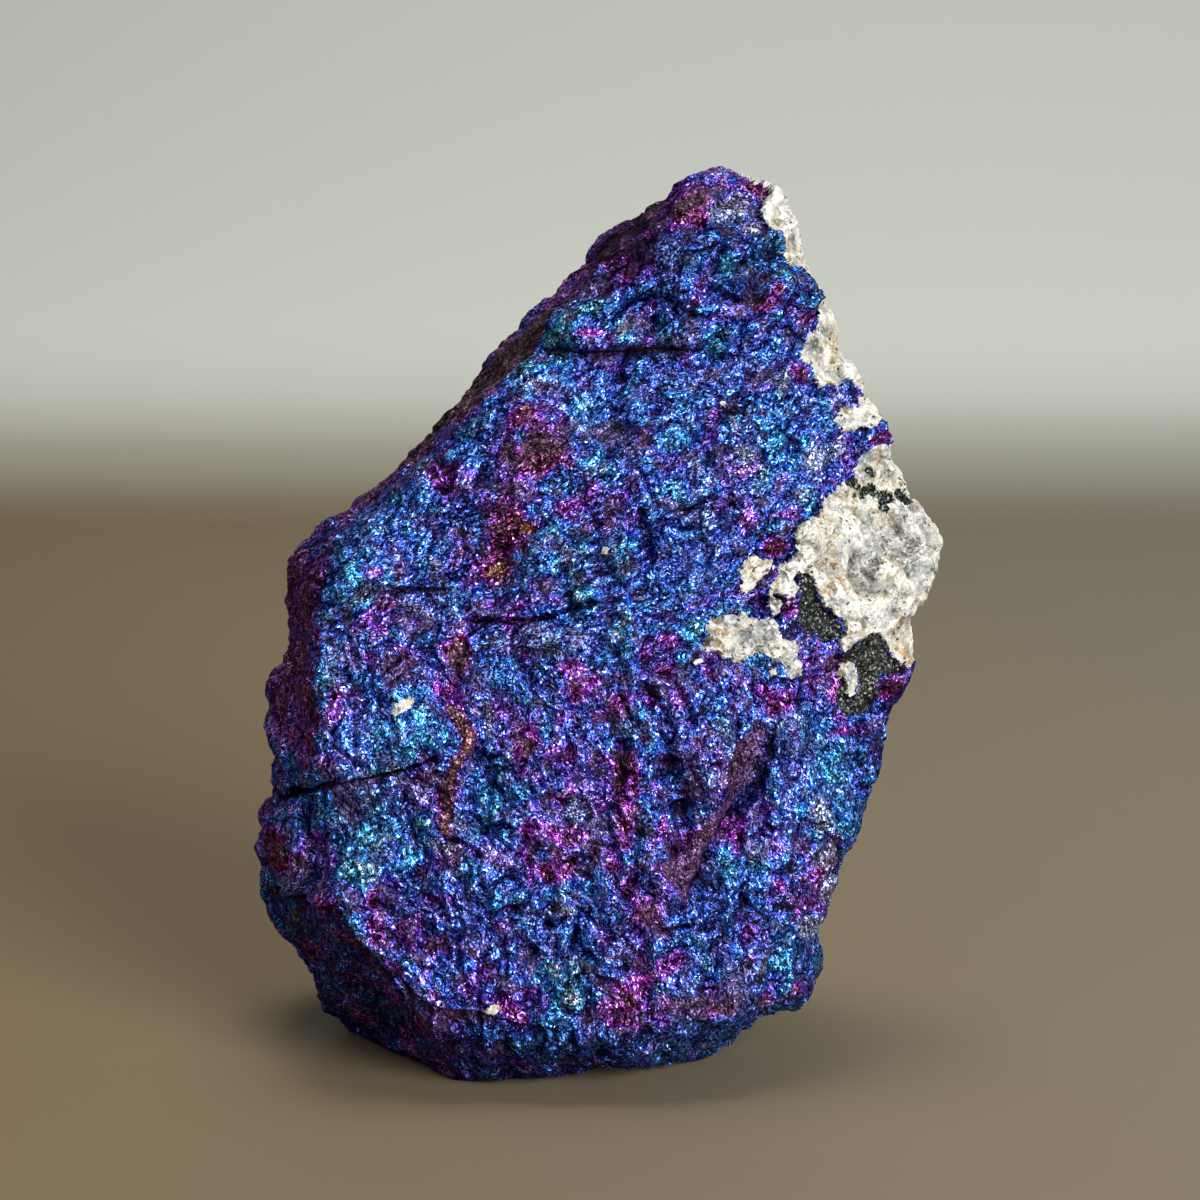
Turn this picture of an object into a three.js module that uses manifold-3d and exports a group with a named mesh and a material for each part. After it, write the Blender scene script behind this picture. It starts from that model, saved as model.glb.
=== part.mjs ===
// A lump of peacock ore: copper-iron sulphide with a tarnish of many colours, grown together
// with pale host rock along its right edge. It is one broken stone, so it is one solid.
//
// Millimetres, +Z up. The broad broken front face looks along -Y. The lump stands on a small
// flat spot, and the origin is under the middle of its box, on the surface it stands on.
//
// The form is a field: a number for each point of space, negative inside the stone, zero on its
// skin. The field is the largest of the distances to the fracture planes and to the wall that
// the front outline makes, less a relief of ledges, furrows, lumps and flat chips. Rays from the
// middle of the stone find the skin, one for each corner of a fine icosahedral ball.

import * as THREE from "three";
import { ImprovedNoise } from "three/addons/math/ImprovedNoise.js";
import { mergeVertices } from "three/addons/utils/BufferGeometryUtils.js";
import Module from "manifold-3d";

// Driving dimensions, in millimetres.
const WIDTH = 86;
const DEPTH = 60;
const HEIGHT = 110;

// The mesh: an icosahedron whose edges are cut into BALL_CUTS + 1 lengths.
const BALL_CUTS = 20;
const RAY_LENGTH = 90;
const RAY_HALVINGS = 26;

// How round a broken edge is.
const EDGE_ROUNDING = 1.1;

// Places are shares of the box: across from the left, back from the front, up from the ground,
// each in percent.
function place(across, back, up) {
  return new THREE.Vector3(
    (across / 100 - 0.5) * WIDTH,
    (back / 100 - 0.5) * DEPTH,
    (up / 100) * HEIGHT,
  );
}

// The outline seen from the front, clockwise from the top. Each row is across, up, and how far
// back the rim lies there, in percent.
const OUTLINE = [
  [68, 99.9, 48],
  [74.6, 98.5, 48],
  [77.4, 96.9, 49],
  [80.4, 93.9, 48],
  [80.9, 89.2, 46],
  [83.1, 86.1, 44],
  [86, 83.1, 43],
  [86, 79.5, 41],
  [88.4, 75.6, 39],
  [90.5, 72.6, 38],
  [92.8, 69.6, 37],
  [96, 66, 36],
  [98, 62.4, 36],
  [100.6, 59, 35],
  [101.8, 56, 35],
  [99.6, 53, 35],
  [96.5, 50.3, 35],
  [97, 45.7, 35],
  [94.6, 42, 35],
  [92.5, 38.9, 35],
  [92.2, 35, 35],
  [90.6, 30.4, 35],
  [88.7, 26.5, 35],
  [86, 23.1, 35],
  [84.3, 19, 36],
  [82, 14.9, 36],
  [83.6, 11, 36],
  [82.6, 7.6, 36],
  [77.2, 5.8, 36],
  [72.8, 2.8, 36],
  [64, -3, 36],
  [22, -7, 42],
  [10.4, 2.6, 45],
  [7.6, 8.7, 47],
  [2.6, 14.1, 50],
  [0.5, 16.8, 50],
  [-0.2, 22, 50],
  [1, 28.3, 50],
  [3.5, 31, 50],
  [1.2, 37, 50],
  [2.8, 41.3, 50],
  [5.5, 44.8, 50],
  [5.8, 50.8, 50],
  [6.4, 55.2, 50],
  [10.8, 58.8, 52],
  [19, 63.6, 53],
  [28.2, 71.2, 53],
  [36.8, 78.9, 53],
  [43.4, 85.3, 53],
  [48.5, 88.6, 53],
  [50.8, 91.4, 53],
  [56.7, 95.2, 54],
  [60.8, 96.8, 53],
  [64.8, 99.3, 51],
];

// The wall below the outline closes in towards the front and the back, this much for each
// millimetre away from the rim.
const WALL_FRONT_SLOPE = 0.1;
const WALL_BACK_SLOPE = 0.32;

// The share of the relief that the wall takes, so that the outline stays as drawn.
const WALL_RELIEF = 0.3;

// The fracture planes: a place on each one, and the way it faces (right, back, up).
const FRACTURES = {
  front: { on: place(50, 8, 35), faces: [-0.03, -0.975, 0.2] },
  frontRight: { on: place(78, 13, 35), faces: [0.42, -0.89, 0.17] },
  frontTop: { on: place(70, 31, 84), faces: [0.12, -0.95, 0.28] },
  leftUpper: { on: place(11, 18, 43), faces: [-0.92, -0.38, 0.06] },
  leftLower: { on: place(8.5, 11, 24), faces: [-0.72, -0.69, 0.02] },
  shoulder: { on: place(32, 27, 76), faces: [-0.69, -0.16, 0.7] },
  footLeft: { on: place(10.7, 15, 19.1), faces: [-0.66, -0.54, -0.52] },
  footRight: { on: place(45, 15, 0), faces: [0.22, -0.5, -0.84] },
  backLeft: { on: place(30, 80, 42), faces: [-0.42, 0.88, 0.2] },
  backRight: { on: place(74, 78, 40), faces: [0.5, 0.84, 0.19] },
  backTop: { on: place(62, 66, 86), faces: [-0.1, 0.86, 0.5] },
  backFoot: { on: place(52, 80, 6), faces: [0.08, 0.8, -0.6] },
};

// Ledges, seen from the front: the stone above the line stands proud of the stone below it by
// "rise", and slopes back to nothing within "reach" above the line.
const LEDGES = [
  { line: [[-20, 30.5], [-5, 31], [7, 33.2], [17, 34.2], [27, 36.5], [35, 37.5]], rise: 2.2, reach: 16 },
  { line: [[40, 79.5], [52, 80.8], [60, 80.6], [70, 81]], rise: 1.8, reach: 12 },
];

// How wide the steep face of a ledge is, seen from the front.
const LEDGE_FACE = 2.4;

// Furrows, seen from the front, as deep and as wide as they say, in millimetres.
const FURROWS = [
  { line: [[74, 43], [73, 37], [71, 31], [67.5, 25], [63.5, 20]], depth: 2.2, width: 4.5 },
  { line: [[57, 62], [57.5, 57], [58, 53]], depth: 1.4, width: 2.5 },
  { line: [[76, 22], [75.5, 15], [73, 9]], depth: 1.4, width: 3.5 },
  { line: [[59, 41], [61, 35], [64, 28]], depth: 1.2, width: 3 },
  { line: [[44, 51], [50, 53.5], [55, 56]], depth: 1, width: 2.5 },
];

// The relief of the broken skin: smooth lumps, and flat chips of two sizes. "size" is how far
// apart they are and "rise" how much they stand out, in millimetres.
const LUMPS = { size: 17, rise: 1.5 };
const SMALL_LUMPS = { size: 8, rise: 0.7 };
const CHIPS = { size: 13, rise: 1.3 };
const SMALL_CHIPS = { size: 5.5, rise: 0.75 };

// How far the edges of the chips wander, as a share of their size, and a shift that keeps the
// small lumps and chips from falling in step with the large ones.
const CHIP_BEND = 0.5;
const SHIFT = 7.3;

// How fast the front's ledges and furrows fade out towards the back of the stone.
const FRONT_FADE = 12;

const noise = new ImprovedNoise();
const clamp = THREE.MathUtils.clamp;
const smoothstep = THREE.MathUtils.smoothstep;

// The nearest spot of a line of points to the point (x, z).
function nearestOnLine(line, x, z, closed = false) {
  const best = { distance: Infinity };
  const last = closed ? line.length : line.length - 1;
  for (let i = 0; i < last; i++) {
    const a = line[i];
    const b = line[(i + 1) % line.length];
    const dx = b.x - a.x;
    const dz = b.z - a.z;
    const share = clamp(((x - a.x) * dx + (z - a.z) * dz) / (dx * dx + dz * dz), 0, 1);
    const distance = Math.hypot(x - a.x - share * dx, z - a.z - share * dz);
    if (distance < best.distance) {
      const left = dx * (z - a.z) - dz * (x - a.x) > 0;
      const along = (i + share) / last;
      Object.assign(best, { distance, left, along, depth: a.y + share * (b.y - a.y) });
    }
  }
  return best;
}

const outline = OUTLINE.map(([across, up, back]) => place(across, back, up));

function insideOutline(x, z) {
  let inside = false;
  outline.forEach((a, i) => {
    const b = outline[(i + 1) % outline.length];
    if (a.z > z !== b.z > z && x < a.x + ((z - a.z) / (b.z - a.z)) * (b.x - a.x)) inside = !inside;
  });
  return inside;
}

// How far a point lies outside the wall that the outline makes.
function outsideWall(p) {
  const rim = nearestOnLine(outline, p.x, p.z, true);
  const out = insideOutline(p.x, p.z) ? -rim.distance : rim.distance;
  const behind = p.y - rim.depth;
  return out + (behind > 0 ? WALL_BACK_SLOPE * behind : -WALL_FRONT_SLOPE * behind);
}

const fractures = Object.values(FRACTURES).map(({ on, faces }) => {
  const normal = new THREE.Vector3(...faces).normalize();
  return new THREE.Plane().setFromNormalAndCoplanarPoint(normal, on);
});

// The largest of some distances, rounded where two are nearly the same.
function roundedMax(distances, rounding) {
  const largest = Math.max(...distances);
  const sum = distances.reduce((total, d) => total + Math.exp((d - largest) / rounding), 0);
  return largest + rounding * Math.log(sum);
}

// A number from -1 to 1 that belongs to a corner of a grid.
function cornerValue(i, j, k) {
  let h = Math.imul(i, 374761393) ^ Math.imul(j, 668265263) ^ Math.imul(k, 2147483647);
  h = Math.imul(h ^ (h >>> 13), 1274126177);
  return ((h ^ (h >>> 16)) >>> 0) / 2147483648 - 1;
}

// A broken surface of flat chips: values at the corners of a leaning grid of tetrahedra, and
// straight slopes between them.
function chips(x, y, z) {
  const lean = (x + y + z) / 3;
  const q = [x + lean, y + lean, z + lean];
  const corner = q.map(Math.floor);
  const rest = q.map((value, axis) => value - corner[axis]);
  const order = [0, 1, 2].sort((a, b) => rest[b] - rest[a]);
  let value = (1 - rest[order[0]]) * cornerValue(...corner);
  order.forEach((axis, step) => {
    corner[axis] += 1;
    const next = step < 2 ? rest[order[step + 1]] : 0;
    value += (rest[axis] - next) * cornerValue(...corner);
  });
  return value;
}

const linePoints = (line) => line.map(([across, up]) => place(across, 0, up));
const ledges = LEDGES.map((ledge) => ({ ...ledge, line: linePoints(ledge.line) }));
const furrows = FURROWS.map((furrow) => ({ ...furrow, line: linePoints(furrow.line) }));

// A ledge or a furrow runs out gently at both ends of its line.
const endFade = ({ along }) => smoothstep(along, 0, 0.2) * (1 - smoothstep(along, 0.8, 1));

function ledgeRise(p, { line, rise, reach }) {
  const near = nearestOnLine(line, p.x, p.z);
  if (!near.left) return 0;
  const slope = smoothstep(near.distance, 0, LEDGE_FACE) * (1 - smoothstep(near.distance, 0, reach));
  return rise * slope * endFade(near);
}

function furrowDepth(p, { line, depth, width }) {
  const near = nearestOnLine(line, p.x, p.z);
  return depth * (1 - smoothstep(near.distance, 0, width)) * endFade(near);
}

// How far the relief lifts the skin at a point.
function relief(p) {
  const front = 1 - smoothstep(p.y, -FRONT_FADE, 0);
  let rise = LUMPS.rise * noise.noise(p.x / LUMPS.size, p.y / LUMPS.size, p.z / LUMPS.size);
  const s = SMALL_LUMPS.size;
  rise += SMALL_LUMPS.rise * noise.noise(p.x / s + SHIFT, p.y / s, p.z / s);
  const bend = CHIP_BEND * noise.noise(p.x / CHIPS.size, p.z / CHIPS.size, SHIFT);
  rise += CHIPS.rise * chips(p.x / CHIPS.size + bend, p.y / CHIPS.size, p.z / CHIPS.size - bend);
  const c = SMALL_CHIPS.size;
  rise += SMALL_CHIPS.rise * chips(p.x / c + bend, p.y / c + SHIFT, p.z / c + bend);
  rise += front * ledges.reduce((sum, ledge) => sum + ledgeRise(p, ledge), 0);
  rise -= front * furrows.reduce((sum, furrow) => sum + furrowDepth(p, furrow), 0);
  return rise;
}

function field(p) {
  const rise = relief(p);
  const distances = fractures.map((plane) => plane.distanceToPoint(p) - rise);
  return roundedMax([...distances, outsideWall(p) - WALL_RELIEF * rise], EDGE_ROUNDING);
}

// The point where a ray from the heart of the stone meets its skin.
const heart = place(52, 50, 42);

function skinPoint(direction) {
  let inside = 0;
  let outside = RAY_LENGTH;
  const p = new THREE.Vector3();
  for (let i = 0; i < RAY_HALVINGS; i++) {
    const middle = (inside + outside) / 2;
    p.copy(heart).addScaledVector(direction, middle);
    if (field(p) > 0) outside = middle;
    else inside = middle;
  }
  return p;
}

// The ball is stretched before its corners give the rays, and more than the box is in depth, so
// that they spread evenly over the stone and lie closest together on its broad front.
const BALL_STRETCH = new THREE.Vector3(WIDTH, 1.2 * DEPTH, HEIGHT);

function stoneGeometry() {
  const ball = new THREE.IcosahedronGeometry(1, BALL_CUTS);
  ball.deleteAttribute("normal");
  ball.deleteAttribute("uv");
  const geometry = mergeVertices(ball, 1e-5);
  const position = geometry.attributes.position;
  const direction = new THREE.Vector3();
  for (let i = 0; i < position.count; i++) {
    direction.fromBufferAttribute(position, i);
    direction.multiply(BALL_STRETCH).normalize();
    position.setXYZ(i, ...skinPoint(direction));
  }
  return geometry;
}

const wasm = await Module();
wasm.setup();

function solidOf(geometry) {
  return new wasm.Manifold(
    new wasm.Mesh({
      numProp: 3,
      vertProperties: new Float32Array(geometry.attributes.position.array),
      triVerts: new Uint32Array(geometry.index.array),
    }),
  );
}

function geometryOf(solid) {
  const mesh = solid.getMesh();
  const geometry = new THREE.BufferGeometry();
  geometry.setAttribute("position", new THREE.BufferAttribute(mesh.vertProperties, 3));
  geometry.setIndex(new THREE.BufferAttribute(mesh.triVerts, 1));
  return geometry;
}

// Everything below the ground is cut away, which leaves the small flat spot it stands on.
function cutAtGround(geometry) {
  const ground = new THREE.BoxGeometry(3 * WIDTH, 3 * DEPTH, HEIGHT);
  ground.translate(0, 0, -HEIGHT / 2);
  ground.deleteAttribute("normal");
  ground.deleteAttribute("uv");
  return geometryOf(solidOf(geometry).subtract(solidOf(mergeVertices(ground))));
}

// Rounded edges and relief leave the stone a little off its driving dimensions, so it is set
// exactly to them, over the origin.
function fitToBox(geometry) {
  geometry.computeBoundingBox();
  const middle = geometry.boundingBox.getCenter(new THREE.Vector3());
  const size = geometry.boundingBox.getSize(new THREE.Vector3());
  geometry.translate(-middle.x, -middle.y, 0);
  geometry.scale(WIDTH / size.x, DEPTH / size.y, HEIGHT / size.z);
  return geometry;
}

const geometry = fitToBox(cutAtGround(stoneGeometry()));
geometry.computeVertexNormals();

const tarnishedOre = new THREE.MeshStandardMaterial({
  color: 0x38429a,
  roughness: 0.38,
  metalness: 0.9,
});

const lump = new THREE.Mesh(geometry, tarnishedOre);
lump.name = "ore_lump";

const part = new THREE.Group();
part.add(lump);

export default part;
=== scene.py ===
# %% [markdown]
# # A lump of peacock ore
#
# Peacock ore is copper-iron sulphide, a brassy metal-like mineral, whose broken skin has grown a
# tarnish so thin that it shows interference colours: blue, violet, magenta and teal. This lump
# has a patch of cream host rock along one edge.

import math

import bpy
import numpy as np
from mathutils import Euler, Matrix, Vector
from mathutils.bvhtree import BVHTree


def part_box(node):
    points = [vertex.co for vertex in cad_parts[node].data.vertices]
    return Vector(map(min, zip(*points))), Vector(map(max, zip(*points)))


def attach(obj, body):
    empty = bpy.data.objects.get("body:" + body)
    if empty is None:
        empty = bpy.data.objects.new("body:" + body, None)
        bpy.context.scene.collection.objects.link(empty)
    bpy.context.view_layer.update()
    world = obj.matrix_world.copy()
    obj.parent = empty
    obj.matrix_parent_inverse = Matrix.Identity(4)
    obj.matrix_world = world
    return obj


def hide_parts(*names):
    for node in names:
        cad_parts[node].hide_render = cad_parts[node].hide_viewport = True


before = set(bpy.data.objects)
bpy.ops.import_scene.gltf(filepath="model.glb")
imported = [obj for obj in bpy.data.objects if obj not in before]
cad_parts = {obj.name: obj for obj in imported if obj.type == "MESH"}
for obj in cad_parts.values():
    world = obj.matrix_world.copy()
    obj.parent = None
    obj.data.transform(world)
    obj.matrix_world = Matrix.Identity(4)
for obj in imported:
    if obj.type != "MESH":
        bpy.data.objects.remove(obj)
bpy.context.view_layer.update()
plain_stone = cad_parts["ore_lump"]
low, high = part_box("ore_lump")
wide, deep, tall = high - low
MM = 0.001
print(f"the plain stone is {wide / MM:.0f} x {deep / MM:.0f} x {tall / MM:.0f} mm")

# %% [markdown]
# ## Camera
#
# A long lens from a little above the table keeps the stone's outline nearly straight-on, as in
# product shots. The camera looks along +Y, at a point halfway up the stone.

# %% Camera
LENS = 85
CAMERA_RISE = math.radians(10)
CAMERA_AWAY = 0.358
AIM_ACROSS, AIM_UP = 0.019, 0.51
look_at = Vector((AIM_ACROSS * wide, 0, AIM_UP * tall))


def aim(thing, place, target):
    """Puts a camera or a lamp at a place and turns it to a target."""
    thing.location = place
    thing.rotation_euler = (target - place).to_track_quat("-Z", "Y").to_euler()


camera = bpy.data.objects.new("camera", bpy.data.cameras.new("camera"))
camera.data.lens = LENS
backwards = Vector((0, -math.cos(CAMERA_RISE), math.sin(CAMERA_RISE)))
aim(camera, look_at + CAMERA_AWAY * backwards, look_at)
bpy.context.collection.objects.link(camera)
bpy.context.scene.camera = camera
print(f"the camera stands {-camera.location.y / MM:.0f} mm in front of the stone's middle")

# %% [markdown]
# ## Table and light
#
# A sheet that curves up behind the stone gives a plain ground: a warm table that fades into a
# pale wall. A window-like lamp stands to the right, in front and rather low, so that a long soft
# shadow falls to the left and away. The stone's skin is metal, and metal shows what it mirrors,
# so grains that face the lamp flash and the others stay dark. The dim room keeps them from going
# black. Colours are written as on a colour card and turned to the linear numbers of shaders. The
# one helper `add` makes a node, sets it, fills its colour scale and links its inputs.


# %% Colours and nodes
def linear(hex_colour, alpha=1):
    """Turns an sRGB colour such as "#8a7f70" into the linear numbers that shaders use."""
    shares = [int(hex_colour[i:i + 2], 16) / 255 for i in (1, 3, 5)]
    return [s / 12.92 if s <= 0.04045 else ((s + 0.055) / 1.055) ** 2.4 for s in shares] + [alpha]


def add(tree, kind, inputs=None, stops=None, **settings):
    """Adds a node with its settings. An input is either a value or another node's output, and
    stops are the places and colours of a colour scale."""
    node = tree.nodes.new("ShaderNode" + kind)
    for name, value in settings.items():
        setattr(node, name, value)
    for name, value in (inputs or {}).items():
        if isinstance(value, bpy.types.Node):
            value = value.outputs[0]
        if isinstance(value, bpy.types.NodeSocket):
            tree.links.new(value, node.inputs[name])
        else:
            node.inputs[name].default_value = value
    for n, (position, colour) in enumerate(stops or []):
        elements = node.color_ramp.elements
        element = elements[n] if n < len(elements) else elements.new(position)
        element.position = position
        element.color = linear(colour)
    return node


def new_material(name):
    """A material with an empty tree."""
    material = bpy.data.materials.new(name)
    material.use_nodes = True
    material.node_tree.nodes.clear()
    return material, material.node_tree


# %% Table and backdrop
# painted shadow: the table is painted darker and browner at the left, where the stone's shadow falls
TABLE_AND_PAINTED_SHADOW_COLOURS = ("#76603d", "#7a7364")
WALL_SHARES = [
    (0, "#000000"), (0.14, "#505050"), (0.45, "#b8b8b8"), (0.58, "#f2f2f2"), (0.66, "#ffffff"),
]
# painted light: the wall is painted lighter near its foot than higher up
WALL_FOOT_PAINTED_LIGHT = "#dadfd8"
WALL_COLOUR = "#c9cec8"
BEND_START = 0.55
BEND_RADIUS = 0.25
SHEET_HALF_WIDTH = 2.0
SHEET_FRONT = -1.2
SHEET_TOP = 1.6
BEND_STEPS = 24
FADE_START = 0.44
FADE_END = 0.78
SIDE_FADE = 0.25

profile = [(SHEET_FRONT, 0), (BEND_START, 0)]
for step in range(1, BEND_STEPS + 1):
    turn = math.radians(90) * step / BEND_STEPS
    across = BEND_START + BEND_RADIUS * math.sin(turn)
    profile.append((across, BEND_RADIUS * (1 - math.cos(turn))))
profile.append((BEND_START + BEND_RADIUS, SHEET_TOP))
corners = [(side * SHEET_HALF_WIDTH, y, z) for y, z in profile for side in (-1, 1)]
strips = [(2 * i, 2 * i + 1, 2 * i + 3, 2 * i + 2) for i in range(len(profile) - 1)]
sheet_mesh = bpy.data.meshes.new("table_sheet")
sheet_mesh.from_pydata(corners, [], strips)
sheet_mesh.shade_smooth()
sheet = bpy.data.objects.new("table_sheet", sheet_mesh)
bpy.context.collection.objects.link(sheet)

table_paint, tree = new_material("matt_table_paint")
sheet_place = add(tree, "SeparateXYZ", {"Vector": add(tree, "TexCoord").outputs["Object"]})
fade = add(tree, "MapRange", {
    "Value": sheet_place.outputs["Y"], "From Min": FADE_START, "From Max": FADE_END})
across = add(tree, "MapRange", {
    "Value": sheet_place.outputs["X"], "From Min": -SIDE_FADE, "From Max": SIDE_FADE},
    interpolation_type="SMOOTHSTEP")
table_tone_with_painted_shadow = add(tree, "ValToRGB", {"Fac": across}, [(0, TABLE_AND_PAINTED_SHADOW_COLOURS[0]), (1, TABLE_AND_PAINTED_SHADOW_COLOURS[1])])
wall_tone = add(tree, "ValToRGB", {"Fac": fade}, [(0.71, WALL_FOOT_PAINTED_LIGHT), (1, WALL_COLOUR)])
wall_share = add(tree, "ValToRGB", {"Fac": fade}, WALL_SHARES)
tone = add(tree, "Mix", {0: wall_share, 6: table_tone_with_painted_shadow, 7: wall_tone}, data_type="RGBA").outputs[2]
paint = add(tree, "BsdfPrincipled", {"Base Color": tone, "Roughness": 0.7})
add(tree, "OutputMaterial", {"Surface": paint})
sheet_mesh.materials.append(table_paint)
print(f"the table sheet bends up {BEND_START:.2f} m behind the stone")


# %% Lamps
def soft_lamp(name, place, size, watts, colour):
    """A square lamp, aimed at the middle of the stone."""
    lamp = bpy.data.objects.new(name, bpy.data.lights.new(name, "AREA"))
    lamp.data.shape = "SQUARE"
    lamp.data.size = size
    lamp.data.energy = watts
    lamp.data.color = linear(colour)[:3]
    aim(lamp, Vector(place), look_at)
    bpy.context.collection.objects.link(lamp)


soft_lamp("key_window", (0.58, -0.80, 0.42), 0.5, 15, "#ffffff")
soft_lamp("left_fill", (-0.7, -0.6, 0.4), 0.4, 0.8, "#dfe6ff")
soft_lamp("top_light", (0.0, 0.05, 0.9), 0.4, 4, "#fff6e8")

ROOM_COLOUR = "#a8aca8"
ROOM_STRENGTH = 0.25

room = bpy.data.worlds.new("dim_room")
bpy.context.scene.world = room
room.use_nodes = True
room_light = room.node_tree.nodes["Background"].inputs
room_light["Color"].default_value = linear(ROOM_COLOUR)
room_light["Strength"].default_value = ROOM_STRENGTH
bpy.context.scene.view_settings.view_transform = "Standard"

# %% [markdown]
# ## A fine skin to carve
#
# The plain stone has facets of about 2.5 mm. Broken ore has edges ten times finer, so its solid
# is copied, and a voxel remesh lays small even squares over it. A light smooth takes the old
# facets away before the real relief is carved.

# %% Fine skin
SQUARE = 0.30 * MM
SMOOTH_ROUNDS = 18


def apply_modifiers(thing):
    """Gives the thing the mesh that its modifiers make, and removes them."""
    graph = bpy.context.evaluated_depsgraph_get()
    made = bpy.data.meshes.new_from_object(thing.evaluated_get(graph))
    thing.modifiers.clear()
    thing.data = made


stone = bpy.data.objects.new("peacock_ore", plain_stone.data.copy())
bpy.context.collection.objects.link(stone)
skin_squares = stone.modifiers.new("even squares", "REMESH")
skin_squares.mode = "VOXEL"
skin_squares.voxel_size = SQUARE
smooth = stone.modifiers.new("soft facets", "SMOOTH")
smooth.factor = 0.5
smooth.iterations = SMOOTH_ROUNDS
apply_modifiers(stone)
print(f"the fine skin has {len(stone.data.vertices)} corners")

# %% [markdown]
# The rest is worked out for all corners at once with numpy, in millimetres. `facing` is the way
# each corner faces. Averaged over its neighbours it tells the broad faces of the stone apart.


# %% Corners and the way they face
def read(items, name, size):
    """Reads one property of all corners or edges into an array."""
    values = np.empty(len(items) * size, np.float32)
    items.foreach_get(name, values)
    return values.reshape(-1, size).astype(np.float64)


skin = read(stone.data.vertices, "co", 3) / MM
facing = read(stone.data.vertex_normals, "vector", 3)
edges = read(stone.data.edges, "vertices", 2).astype(np.int32)
neighbours = np.bincount(edges.ravel(), minlength=len(skin))
FACING_ROUNDS = 12


def spread_out(values, rounds):
    """Averages each corner with its neighbours, again and again."""
    for _ in range(rounds):
        total = np.bincount(edges[:, 0], values[edges[:, 1]], len(values))
        total += np.bincount(edges[:, 1], values[edges[:, 0]], len(values))
        values = (values + total) / (1 + neighbours)
    return values


def ease(values, start, end):
    """0 before start, 1 after end, and a soft rise between them. It also falls if end < start."""
    share = np.clip((values - start) / (end - start), 0, 1)
    return share * share * (3 - 2 * share)


wide_facing = np.stack([spread_out(facing[:, n], FACING_ROUNDS) for n in range(3)], axis=1)
wide_facing /= np.linalg.norm(wide_facing, axis=1)[:, None]
print(f"the skin faces {facing[:, 1].min():.2f} to {facing[:, 1].max():.2f} towards the back")

# %% [markdown]
# ## Noise for a broken surface
#
# Blender's own textures live in shaders, and this relief has to be real mesh, so the noise is
# worked out with numpy. `soft` is a smooth rolling noise. `crumple` joins random heights with
# flat facets, so it has sharp folds like crushed foil, which is how brittle ore breaks. `cells`
# finds the borders between random cells, where cracks like to run.


# %% Random numbers that belong to cells
def cell_random(cells, channel):
    """A number from 0 to 1 for each whole-numbered cell, the same at every run."""
    c = cells.astype(np.int64).astype(np.uint32)
    h = c[:, 0] * np.uint32(374761393) ^ c[:, 1] * np.uint32(668265263)
    h ^= c[:, 2] * np.uint32(2246822519) ^ np.uint32((channel * 3266489917) % 2**32)
    h = (h ^ (h >> np.uint32(15))) * np.uint32(2654435761)
    h = (h ^ (h >> np.uint32(13))) * np.uint32(1274126177)
    return (h ^ (h >> np.uint32(16))) / 2**32


def soft(points, size, seed):
    """Smooth noise from -1 to 1 with hills about `size` apart."""
    q = points / size
    whole = np.floor(q)
    share = q - whole
    share = share * share * (3 - 2 * share)
    value = 0
    for corner in np.ndindex(2, 2, 2):
        weight = np.prod(np.where(corner, share, 1 - share), axis=1)
        value = value + weight * (2 * cell_random(whole + corner, seed) - 1)
    return value


def crumple(points, size, seed):
    """Creased noise from -1 to 1: flat facets about `size` across that meet in sharp folds."""
    turned = points @ np.array(Euler((seed, 2.1 * seed, 3.3 * seed)).to_matrix())
    q = turned / size
    corner = np.floor(q)
    share = q - corner
    order = np.argsort(-share, axis=1)
    rows = np.arange(len(q))
    last = 2 * cell_random(corner, seed) - 1
    value = last
    for n in range(3):
        axis = order[:, n]
        corner[rows, axis] += 1
        here = 2 * cell_random(corner, seed) - 1
        value = value + share[rows, axis] * (here - last)
        last = here
    return value


def cells(points, size, seed):
    """How far each point is from the border of its random cell, and the cell's own number."""
    q = points / size
    whole = np.floor(q)
    nearest = np.full(len(q), 9.0)
    second = np.full(len(q), 9.0)
    own = np.zeros(len(q))
    for i, j, k in np.ndindex(3, 3, 3):
        cell = whole + (i - 1, j - 1, k - 1)
        heart = cell + np.stack([cell_random(cell, seed + n) for n in range(3)], axis=1)
        distance = np.linalg.norm(q - heart, axis=1)
        closer = distance < nearest
        second = np.where(closer, nearest, np.minimum(second, distance))
        nearest = np.where(closer, distance, nearest)
        own = np.where(closer, cell_random(cell, seed + 3), own)
    return size * (second - nearest) / 2, own


# %% [markdown]
# Straight noise looks machine-made. So the places that it is read at are pushed about first by a
# rolling noise, and squeezed along a line where the broken grain of the ore runs one way: up to
# the right in the upper half, and steeply down to the right in the lower half.

# %% Warped and stretched places
warp = np.stack([soft(skin, 4, 20 + n) for n in range(3)], axis=1)
fine_warp = np.stack([soft(skin, 1.4, 30 + n) for n in range(3)], axis=1)
warped = skin + 1.1 * warp + 0.35 * fine_warp
UPPER_LEAN = 38
LOWER_LEAN = 112


def stretched(points, lean, times):
    """Squeezes space along a line on the front, so that noise grows longer that way."""
    way = np.array([math.cos(math.radians(lean)), 0, math.sin(math.radians(lean))])
    return points - (1 - 1 / times) * (points @ way)[:, None] * way


steep = stretched(warped, LOWER_LEAN, 1.9)
slanting = stretched(warped, UPPER_LEAN, 1.9)
low_part = ease(skin[:, 2] + 2.5 * warp[:, 0], 0.58 * tall / MM, 0.38 * tall / MM)
print(f"the steep grain covers {100 * low_part.mean():.0f} % of the skin")

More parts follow.
